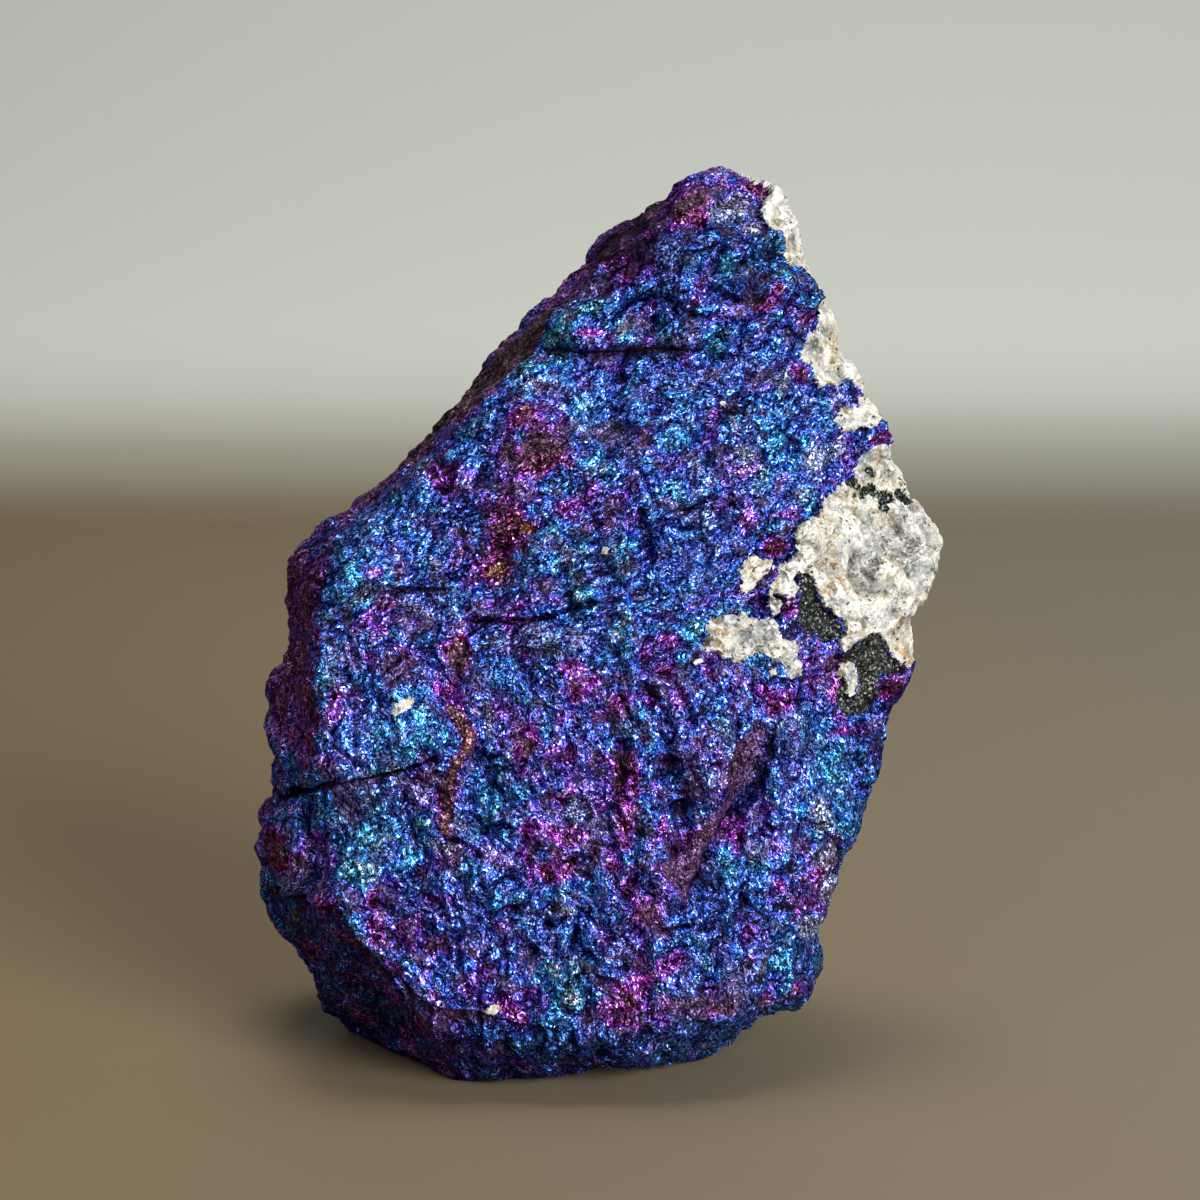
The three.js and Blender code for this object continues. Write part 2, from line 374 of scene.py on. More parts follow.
# %% [markdown]
# ## Places on the front
#
# Cracks, veins and patches are drawn on the front of the stone, as the camera sees them. They
# are written as points of its picture, counted across and down from its upper left corner.
# `seen` follows the ray of sight through each point to the plain stone, and gives the place where
# it ends as percent of the stone's width, from its left, and percent of its height. The valley at
# the lower right is written in a close-up, so `seen_close_up` first turns its points into points
# of the whole picture. A list that neither of them is put round is in percent already.
#
# An oval patch is written as its middle, half its width, half its height and its lean in degrees,
# with its colour or strength last. `seen_patches` turns the points into percent and millimetres.
# A few patches were placed on the stone itself. Their middle is a pair of its own, already in
# percent, and their sizes are in millimetres.

# %% From the camera's picture to the stone
PICTURE = 1200
POINT = 0.117
OFF_STONE_POINT = 0.137
FARTHEST_OFF = 40
CLOSE_UP_CORNER = (560, 640)
CLOSE_UP_TIMES = 2.174

solid = BVHTree.FromPolygons([corner.co for corner in plain_stone.data.vertices],
                             [face.vertices for face in plain_stone.data.polygons])
sideways = Vector((1, 0, 0))
upwards = backwards.cross(sideways)
points_away = PICTURE * LENS / camera.data.sensor_width


def meets_stone(x, y):
    """Where the ray of sight through a point of the picture meets the stone, None if it misses."""
    ray = (x - PICTURE / 2) * sideways - (y - PICTURE / 2) * upwards - points_away * backwards
    return solid.ray_cast(camera.location, ray)[0]


def seen(points):
    """The place of each point on the stone, in percent. A point that lies just off the outline
    is led inwards until it meets the stone, and the place found is moved out again as far."""
    places = []
    for x, y in points:
        inwards = -1 if x > PICTURE / 2 else 1
        down = 1 if y < PICTURE / 4 else 0
        for steps in range(FARTHEST_OFF):
            place = meets_stone(x + steps * inwards, y + steps * down)
            if place is not None:
                break
        across = (place.x - low.x) / wide * 100 - steps * inwards * OFF_STONE_POINT
        places.append((round(across, 1), round(place.z / tall * 100, 1)))
    return places


def seen_close_up(points):
    """The same for points of the close-up, to a tenth of a point."""
    left, top = CLOSE_UP_CORNER
    return seen([(round(left + x / CLOSE_UP_TIMES, 1), round(top + y / CLOSE_UP_TIMES, 1))
                 for x, y in points])


def seen_patches(rows):
    """Patches on the stone, to half a percent and a tenth of a millimetre."""
    patches = []
    for row in rows:
        if isinstance(row[0], tuple):
            patches.append((*row[0], *row[1:]))
        else:
            x, y, half_width, half_height, *others = row
            across, up = seen([(x, y)])[0]
            sizes = round(half_width * POINT, 1), round(half_height * POINT, 1)
            patches.append((round(2 * across) / 2, round(2 * up) / 2, *sizes, *others))
    return patches


print(f"a point of the picture is {POINT:.3f} mm on the front of the stone")

# %% [markdown]
# `line` measures how far each corner of the skin is from a line of such places, `inside` how
# deep it lies in an outline, and `patch` fills an oval with ragged edges.

# %% Lines, outlines and patches
on_front = ease(wide_facing[:, 1], 0.45, 0.2)
front_view = skin[:, [0, 2]]


def front_place(across, up):
    """A place on the front, in mm, from percent of the width and of the height."""
    return np.array([low.x / MM + across / 100 * wide / MM, up / 100 * tall / MM])


def line(path, wander=0.0):
    """Distance in mm from a line, positive on the left of the way it runs and negative on the
    right, and the share of the way along it."""
    places = [front_place(*p) for p in path]
    view = front_view + wander * warp[:, [0, 2]]
    distance = np.full(len(skin), 1e3)
    along = np.zeros(len(skin))
    for n, (start, end) in enumerate(zip(places, places[1:])):
        way = end - start
        away = view - start
        share = np.clip(away @ way / (way @ way), 0, 1)
        gap = away - share[:, None] * way
        side = np.where(way[0] * away[:, 1] - way[1] * away[:, 0] >= 0, 1, -1)
        length = np.linalg.norm(gap, axis=1)
        closer = length < np.abs(distance)
        distance = np.where(closer, side * length, distance)
        along = np.where(closer, (n + share) / (len(places) - 1), along)
    return distance, along


def inside(outline, wander=0.0):
    """Depth in mm inside a closed outline: negative outside it."""
    places = [front_place(*p) for p in outline]
    view = front_view + wander * fine_warp[:, [0, 2]]
    within = np.zeros(len(skin), bool)
    for start, end in zip(places, places[1:] + places[:1]):
        spans = (start[1] > view[:, 1]) != (end[1] > view[:, 1])
        climb = end[1] - start[1] if end[1] != start[1] else 1e-9
        cross = start[0] + (view[:, 1] - start[1]) * (end[0] - start[0]) / climb
        within ^= spans & (view[:, 0] < cross)
    distance = np.abs(line(list(outline) + [outline[0]])[0])
    return np.where(within, distance, -distance)


def oval(across, up, half_width, half_height, lean=0, wander=0.5):
    """1 in the middle of an oval with ragged edges, 0 outside it, on the front and on the back.
    Sizes are in mm."""
    size = min(half_width, half_height)
    view = front_view + wander * size * (0.5 * warp + 0.5 * fine_warp)[:, [0, 2]]
    away = view - front_place(across, up)
    c, s = math.cos(math.radians(lean)), math.sin(math.radians(lean))
    x = (away[:, 0] * c + away[:, 1] * s) / half_width
    z = (-away[:, 0] * s + away[:, 1] * c) / half_height
    return ease(np.hypot(x, z), 1.25, 0.6)


def patch(*place):
    """An oval on the front alone."""
    return on_front * oval(*place)


# %% [markdown]
# ## Host rock and dark mineral
#
# Along the right edge the ore is grown onto a cream, sugary rock, which reaches into it in
# fingers, with a black-green mineral between. They could be separate pieces pushed into the
# lump, but grown-together minerals share one broken skin. So they are outlined on the front of
# the same mesh, the rock goes on round the edge to the back, and a ragged noise breaks their
# borders.

# %% Outlines of the host rock
TOP_STRIP = seen([
    (772, 186), (766, 196), (762, 208), (766, 223), (774, 230), (784, 232), (788, 241), (783, 252),
    (787, 262), (797, 268), (806, 276), (816, 284), (820, 300), (819, 326), (808, 335), (801, 346),
    (800, 358), (806, 367), (815, 371), (819, 387), (833, 386), (846, 380), (853, 383), (862, 392),
]) + [(93, 77.5), (91, 83), (88.5, 86.5), (86, 91), (83, 96.5), (79.5, 98.8)]
WHITE_KNOB = seen([
    (838, 430), (836, 418), (843, 410), (857, 406), (860, 396), (872, 402), (882, 412), (874, 420),
    (862, 426), (848, 430),
])
MAIN_ROCK = seen([
    (892, 441), (872, 450), (860, 452), (861, 462), (854, 468), (856, 479), (845, 480), (838, 486),
    (836, 493), (823, 497), (821, 509), (817, 517), (804, 520), (795, 532), (798, 553), (782, 562),
    (775, 567), (779, 576), (769, 588), (769, 596), (783, 598), (794, 597), (798, 588), (790, 579),
    (797, 571), (807, 577), (818, 596), (824, 608), (838, 620), (845, 623), (844, 633), (838, 640),
    (846, 653), (853, 644), (871, 634), (880, 635), (888, 648), (893, 659), (905, 669), (922, 660),
    (925, 620), (950, 580), (950, 545), (925, 500), (905, 450),
])
UPPER_FINGER = seen([
    (740, 590), (741, 570), (748, 560), (757, 558), (763, 563), (771, 562), (768, 570), (759, 578),
    (757, 586), (748, 592),
])
FINGER_NECK = seen([(769, 597), (779, 598), (781, 617), (770, 618), (773, 607)])
LOWER_FINGER = seen([
    (700, 648), (702, 640), (708, 636), (706, 628), (713, 619), (736, 616), (742, 612), (750, 617),
    (770, 616), (780, 618), (782, 634), (792, 640), (797, 648), (797, 656), (803, 662), (806, 672),
    (798, 681), (788, 681), (782, 675), (781, 664), (770, 657), (761, 650), (750, 654), (743, 660),
    (729, 660), (717, 653), (707, 651),
])
BLACK_BAND = seen([
    (804, 575), (811, 579), (818, 596), (824, 608), (837, 619), (845, 623), (844, 633), (836, 638),
    (826, 641), (812, 634), (804, 628), (800, 616), (802, 600), (803, 588),
])
BLACK_CORNER = seen([
    (846, 656), (852, 647), (862, 641), (872, 634), (880, 634), (886, 646), (892, 658), (904, 664),
    (903, 672), (884, 676), (876, 684), (873, 702), (864, 714), (848, 717), (840, 706),
])
BLACK_VEINS = [seen(path) for path in [
    [(850, 481), (858, 484), (863, 493)],
    [(865, 489), (872, 488), (879, 495), (890, 497)],
    [(880, 497), (884, 508)],
    [(899, 494), (911, 501)],
    [(869, 472), (875, 476)],
]]
VEIN_HALF_WIDTH = 0.5
WHITE_LOBE = seen([
    (841, 665), (849, 660), (858, 668), (861, 681), (857, 694), (850, 699), (845, 690), (841, 677),
])
RIGHT_RIM = [
    (77, 100), (82, 92), (86, 85), (89, 79), (93, 71), (97, 63), (99, 56), (97, 50), (95, 45),
]
WHITE_CHIPS = seen_patches([
    (403, 706, 14, 6, 30), (603, 549, 3, 6, 0), (724, 404, 3, 3, 0), (492, 1012, 9, 5, 20),
    (424, 992, 3, 3, 0), (698, 661, 7, 3, 20), (771, 672, 4, 4, 0), (554, 685, 3, 4, 0),
    (753, 229, 5, 4, 0),
])

# %% Depth inside each mineral
BEHIND_EDGE = 5.5
FAR_OUTSIDE = -50
SOFT_BORDER = 0.15

ragged = 0.4 * crumple(skin, 1.3, 60) + 0.35 * crumple(skin, 0.6, 61)
rock_depth = np.full(len(skin), float(FAR_OUTSIDE))
for outline in (TOP_STRIP, WHITE_KNOB, MAIN_ROCK, UPPER_FINGER, FINGER_NECK, LOWER_FINGER):
    rock_depth = np.maximum(rock_depth, inside(outline, 0.3))
rock_depth = np.where(on_front > 0.5, rock_depth, FAR_OUTSIDE)
rim_distance = np.abs(line(RIGHT_RIM, 1.0)[0])
behind_edge = BEHIND_EDGE + 3 * soft(skin, 9, 62) - rim_distance
behind_edge = np.where(on_front > 0.5, FAR_OUTSIDE, behind_edge)
rock_depth = np.maximum(rock_depth, behind_edge) + ragged
black_depth = np.maximum(inside(BLACK_BAND, 0.3), inside(BLACK_CORNER, 0.3))
for path in BLACK_VEINS:
    black_depth = np.maximum(black_depth, VEIN_HALF_WIDTH - np.abs(line(path, 0.4)[0]))
lobe_depth = inside(WHITE_LOBE, 0.3)
black_depth = np.minimum(black_depth + ragged, -lobe_depth)
black_depth = np.where(on_front > 0.5, black_depth, FAR_OUTSIDE)
rock_depth = np.where(on_front > 0.5, np.maximum(rock_depth, lobe_depth + ragged), rock_depth)
rock_depth = np.minimum(rock_depth, -black_depth)
for chip in WHITE_CHIPS:
    rock_depth = np.maximum(rock_depth, patch(*chip) - 0.5)
rock = ease(rock_depth, -SOFT_BORDER, SOFT_BORDER)
black = ease(black_depth, -SOFT_BORDER, SOFT_BORDER)
print(f"host rock covers {100 * rock.mean():.1f} % of the skin, "
      f"dark mineral {100 * black.mean():.1f} %")

# %% [markdown]
# ## Relief
#
# A shader bump would do for the finest grain, but the lumps and folds of this skin cast shadows
# and break the outline, so they are cut into the mesh. Broad facets come first, then folds that
# run along the grain, then smaller ones, each layer lower than the last. `rise` is how far each
# corner moves out of the stone, in mm.


# %% Crumpled ore
def folds(points, size, seed):
    """Sharp ridges with flat sides, from about -1.1 to 0.5, where a creased noise is zero."""
    return 0.5 - np.abs(crumple(points, size, seed)) * 1.6


rise = 0.8 * crumple(warped, 7, 1) + 0.4 * crumple(warped, 3.2, 10)
rise += 0.45 * low_part * folds(steep, 2.8, 2) + 0.4 * (1 - low_part) * folds(slanting, 2.8, 3)
rise += 0.3 * low_part * folds(steep, 1.3, 4) + 0.25 * (1 - low_part) * folds(slanting, 1.3, 9)
rise += (0.2 * crumple(skin + 0.3 * fine_warp, 0.95, 5)
         + 0.09 * crumple(skin + 0.2 * fine_warp, 0.6, 6))
border = cells(warped, 7, 80)[0]
crack_strength = ease(soft(skin, 6, 81), 0.0, 0.5)
rise -= 0.45 * crack_strength * ease(border, 0.45, 0.0)
border, own = cells(slanting, 3.6, 90)
rise += 0.5 * (own - 0.5) * ease(border, 0, 0.25)
crease = ease(border, 0.3, 0.0) * ease(soft(skin, 5, 91), -0.1, 0.3)
rise -= 0.25 * crease
print(f"the crumpled skin runs from {rise.min():.2f} to {rise.max():.2f} mm")

# %% [markdown]
# The long cracks, ledges and furrows of this lump are drawn one by one. A groove cuts a narrow
# valley, and a ledge lifts the ground on one side of a line, which gives the small cliffs that a
# cleaved ore shows.


# %% Lines that are cut or raised
def groove(path, depth, half_width, wander=0.25):
    """Cuts a groove along a line, that fades at its ends."""
    distance, along = line(path, wander)
    fade_out = ease(along, 0, 0.12) * ease(along, 1, 0.88)
    return -depth * fade_out * on_front * ease(np.abs(distance), half_width, 0)


def ledge(path, height, reach, wander=0.3):
    """Lifts the ground on the left of a line, most at the line, and leaves the other side."""
    distance, along = line(path, wander)
    fade_out = ease(along, 0, 0.15) * ease(along, 1, 0.85)
    lift = ease(distance, -0.25, 0.15) * ease(distance, reach, 0)
    return height * fade_out * on_front * lift


LEFT_CRACK = seen([
    (258, 794), (285, 793), (305, 790), (320, 786), (335, 782), (350, 778), (380, 774), (402, 769),
    (430, 762), (455, 760),
])
UPPER_CRACK = seen([(530, 344), (575, 350), (610, 352), (645, 350), (672, 348), (702, 352)])
SMALL_CRACKS = [seen(path) for path in [
    [(324, 624), (340, 622), (350, 617), (364, 612)],
    [(392, 591), (410, 589), (430, 588), (452, 591)],
    [
        (455, 618), (480, 618), (505, 621), (530, 621), (552, 615), (572, 607), (592, 602),
        (612, 601), (634, 602),
    ],
    [(482, 738), (484, 757), (500, 752)],
    [(578, 584), (570, 594), (572, 606)],
    [(643, 680), (650, 693), (662, 701)],
    [(438, 838), (460, 841), (471, 848), (486, 863)],
    [(480, 832), (500, 823), (522, 830)],
    [(538, 925), (556, 924), (568, 914)],
    [(592, 968), (600, 977), (618, 979)],
    [(856, 784), (868, 787), (882, 788)],
    [(764, 820), (770, 828), (777, 832)],
    [(655, 930), (672, 926), (690, 925)],
]]
FURROWS = [seen(path) for path in [
    [(640, 505), (646, 535), (649, 566)],
    [(668, 735), (664, 770), (668, 800)],
    [(676, 790), (686, 830), (660, 880)],
    [(622, 735), (618, 770), (612, 800)],
    [(598, 840), (585, 880)],
    [(640, 860), (622, 905)],
    [(745, 890), (752, 925), (748, 950)],
    [(560, 905), (542, 925)],
]]
UNDERCUT = seen([
    (250, 886), (262, 894), (285, 886), (310, 893), (335, 903), (345, 915), (355, 930), (363, 946),
    (385, 965), (400, 978), (412, 988), (425, 1000), (441, 1008), (470, 1010), (490, 1016),
    (520, 1022), (560, 1030), (620, 1036),
])
VALLEY = [
    (76.5, 41), (75.3, 38), (74, 35), (72, 32.5), (69.8, 30.4), (67.5, 27.5), (65.3, 24.5),
    (63.4, 21.6),
]
VALLEY_FACET = seen_close_up([
    (432, 183), (446, 190), (437, 250), (415, 300), (395, 330), (372, 360), (352, 400), (335, 440),
    (318, 475), (300, 510), (285, 540), (270, 572), (262, 540), (240, 520), (225, 500), (205, 492),
    (250, 480), (280, 460), (300, 430), (318, 400), (345, 375), (365, 345), (372, 320), (368, 295),
    (375, 262), (385, 235), (405, 205),
])
VALLEY_SIDE = seen_close_up([
    (446, 190), (472, 198), (462, 250), (440, 300), (415, 345), (398, 372), (380, 372), (395, 330),
    (415, 300), (437, 250),
])
VEIN = seen([
    (451, 706), (462, 722), (471, 735), (468, 749), (459, 760), (451, 771), (446, 785), (446, 800),
    (449, 815), (449, 833),
])
LEFT_EDGE = seen([
    (335, 548), (327, 570), (323, 600), (325, 640), (321, 662), (315, 682), (318, 702), (324, 720),
    (317, 738), (312, 755), (309, 772), (303, 787),
])
BEVEL_EDGE = seen([
    (664, 204), (650, 214), (625, 236), (600, 262), (580, 283), (560, 302), (540, 322), (522, 345),
    (505, 362), (490, 380), (468, 402), (445, 424), (425, 442), (405, 456), (380, 478), (350, 505),
    (330, 530),
])

rise += groove(LEFT_CRACK, depth=0.8, half_width=0.55) + ledge(LEFT_CRACK, height=0.9, reach=5)
rise += groove(UPPER_CRACK, depth=0.45, half_width=0.9) + ledge(UPPER_CRACK, height=0.6, reach=4)
for path in SMALL_CRACKS:
    rise += groove(path, depth=0.5, half_width=0.5) + ledge(path, height=0.4, reach=2.5)
for path in FURROWS:
    rise += groove(path, depth=0.7, half_width=1.4)
rise += (groove(VALLEY, depth=0.5, half_width=1.3) + ledge(VALLEY, height=-0.5, reach=4)
         + ledge(UNDERCUT, height=0.7, reach=4))
valley_facet = ease(inside(VALLEY_FACET, 0.4) + 0.3, -0.4, 0.4) * on_front
rise *= 1 - 0.5 * valley_facet
vein = ease(np.abs(line(VEIN, 0.4)[0] + 0.3 * fine_warp[:, 0]), 0.8, 0.4) * on_front
rise += 0.12 * vein
print(f"with its cracks and ledges it runs from {rise.min():.2f} to {rise.max():.2f} mm")

# %% [markdown]
# The left face turns away from the front at a broken edge, so the skin beyond the edge is moved
# back, the more the farther it lies from it. Moving it straight back leaves the outline of the
# stone as it is. Below the crack the front goes on farther to the left, so a patch is drawn
# forward there. A few ovals then swell or pare the outline, where the plain stone is too plain.

# %% The left edge
TURN_SLOPE = 0.9
TURN_REACH = 4.0
LOW_FACET = (7.5, 25, 3.4, 6.0, 0, 0.1)
LOW_FACET_PULL = 4.5

beyond, along = line(LEFT_EDGE, 0.3)
beyond = np.where((along > 0) & (along < 1), np.clip(-beyond, 0, TURN_REACH), 0) * on_front
back = TURN_SLOPE * beyond * ease(along, 0, 0.06) * ease(along, 1, 0.94)
back -= LOW_FACET_PULL * patch(*LOW_FACET)
uneven_end = along + 0.08 * soft(skin, 3, 130)
left_of_edge = ease(beyond, 0.1, 0.6) * ease(uneven_end, 0, 0.15) * ease(uneven_end, 1.05, 0.92)
OUTLINE_MOVES = [
    (58.5, 97, 5, 3, 45, -0.7), (46, 88.5, 5, 3, 45, -1.0), (73.5, 100, 3, 1.6, -20, -1.0),
    (1.5, 39, 2.5, 7, 0, 1.2), (0.5, 26, 3, 1.6, 0, 1.2), (9, 2.5, 3, 3, 0, 0.8),
]
for *place, move in OUTLINE_MOVES:
    rise += move * oval(*place)
print(f"the left side moves between {back.min():.1f} and {back.max():.1f} mm back")

# %% Sugary rock and dark mineral
ROCK_HOLLOW = (89.3, 55.8, 1.8, 3.2)
ROCK_SWELL = (97, 56, 5, 5)
KNOB_SWELL = (91, 71, 2.5, 2.5)

border, own = cells(warped, 2.4, 110)
rock_rise = 0.6 * crumple(warped, 4.4, 5) + 0.7 * (own - 0.5) * ease(border, 0, 0.2)
rock_rise += 0.2 * crumple(skin, 0.9, 6) + 0.4 * crumple(warped, 1.8, 12)
rock_rise += 0.9 * patch(*ROCK_SWELL) - 0.9 * patch(*ROCK_HOLLOW)
rise = rise * (1 - rock) + rock * (rock_rise + 0.2)
black_rise = 0.3 * crumple(warped, 2.2, 7) + 0.25 * crumple(skin, 0.9, 8) - 0.35
rise = rise * (1 - black) + black * black_rise
rise += 0.9 * patch(*KNOB_SWELL)
print(f"the host rock stands {rise[rock > 0.5].mean():.2f} mm proud, the dark mineral "
      f"{rise[black > 0.5].mean():.2f} mm")

# %% [markdown]
# The relief is laid on along the facing of each corner. It fades out near the foot, which has to stay
# flat where the stone stands. How far a corner lies below its surroundings is kept as `hollow`: the
# shaders darken the hollows with painted shade and lighten the ridges with painted light, and the
# film turns redder there.

# %% Carve
FOOT_START, FOOT_END = 0.3, 1.2
HOLLOW_ROUNDS = 25

foot = ease(skin[:, 2], FOOT_START, FOOT_END)
carved = skin + (foot * (rise - 0.1))[:, None] * facing
carved[:, 1] += foot * back
carved[:, 2] = np.maximum(carved[:, 2], 0)
stone.data.vertices.foreach_set("co", (carved * MM).astype(np.float32).ravel())
hollow = spread_out(rise, HOLLOW_ROUNDS) - rise
print(f"the relief runs from {rise.min():.2f} to {rise.max():.2f} mm")

# %% [markdown]
# ## Colour places
#
# The colour of a tarnish film comes from how thick it is: gold when thinnest, then copper,
# maroon, magenta, violet, indigo, blue, sky and teal. So one number for each corner, `film`, is
# all that the colour needs. A rolling noise spreads it, broad zones pull it one way, and spots
# mark the strongest patches. Colours are only painted: nothing here moves the skin.

# %% Tarnish film
GOLD, COPPER, MAROON, MAGENTA, VIOLET, INDIGO, BLUE, SKY, TEAL = (
    -0.06, 0.07, 0.18, 0.3, 0.41, 0.54, 0.66, 0.78, 0.9)
FILM_MIDDLE = 0.62
ZONE_PULL = 0.82
SPOT_PULL = 0.9
HOLLOW_PULL = 0.22
BLUE_CALM = 0.55
ZONES = seen_patches([
    ((55, 91), 6.5, 3.4, 45, MAROON), ((63.5, 96), 4, 3, 30, MAROON),
    ((69.5, 92), 4.5, 2.6, 0, INDIGO), (700, 290, 60, 26, 0, BLUE), (600, 320, 50, 14, 30, BLUE),
    (740, 345, 50, 20, 0, BLUE), (790, 300, 26, 30, 0, INDIGO), (640, 400, 90, 30, 0, BLUE),
    (800, 440, 40, 50, 0, BLUE), (480, 420, 50, 22, 42, BLUE), (530, 450, 40, 34, 0, MAROON),
    (505, 525, 22, 44, -10, MAROON), (390, 530, 70, 31, 42, BLUE + 0.04),
    (600, 510, 50, 26, 0, VIOLET), (690, 560, 60, 50, 0, BLUE), (735, 505, 30, 26, 0, VIOLET),
    (400, 630, 60, 30, 0, INDIGO - 0.04), ((23, 40.5), 7.5, 4, 10, BLUE + 0.05),
    (455, 650, 18, 26, 0, MAROON), (505, 680, 26, 30, 0, BLUE), (570, 680, 40, 26, 0, VIOLET),
    (660, 655, 26, 26, 0, MAGENTA), (570, 610, 50, 22, 0, BLUE), (720, 690, 70, 20, 0, INDIGO),
    (545, 760, 40, 20, 0, VIOLET), (600, 780, 60, 50, 0, VIOLET), ((55.5, 33), 1.8, 6.5, 0, MAROON),
    (690, 770, 24, 40, 0, VIOLET), ((22, 29), 7.5, 5, 0, SKY), (355, 865, 24, 30, 0, TEAL),
    (310, 845, 30, 26, 0, VIOLET), ((36, 33), 3.8, 3, 0, SKY), (560, 850, 60, 30, 0, VIOLET),
    (480, 900, 64, 40, 0, BLUE), (400, 935, 24, 22, 0, VIOLET),
    ((49.5, 19), 8, 3.5, 0, INDIGO + 0.04), (700, 900, 50, 40, 0, BLUE),
    ((64.5, 17), 5.9, 4.7, 0, BLUE), (780, 960, 30, 30, 0, SKY), ((79, 36), 7, 5.4, 0, BLUE + 0.04),
    ((87, 34), 4.2, 6.5, 0, SKY), ((80, 37), 3.5, 5, 0, BLUE),
    (560, 1040, 85.5, 20.5, 0, BLUE + 0.06), (700, 1035, 68, 17, 0, BLUE + 0.04),
    (820, 670, 20, 40, 0, VIOLET), (640, 975, 40, 12, 25, VIOLET),
])
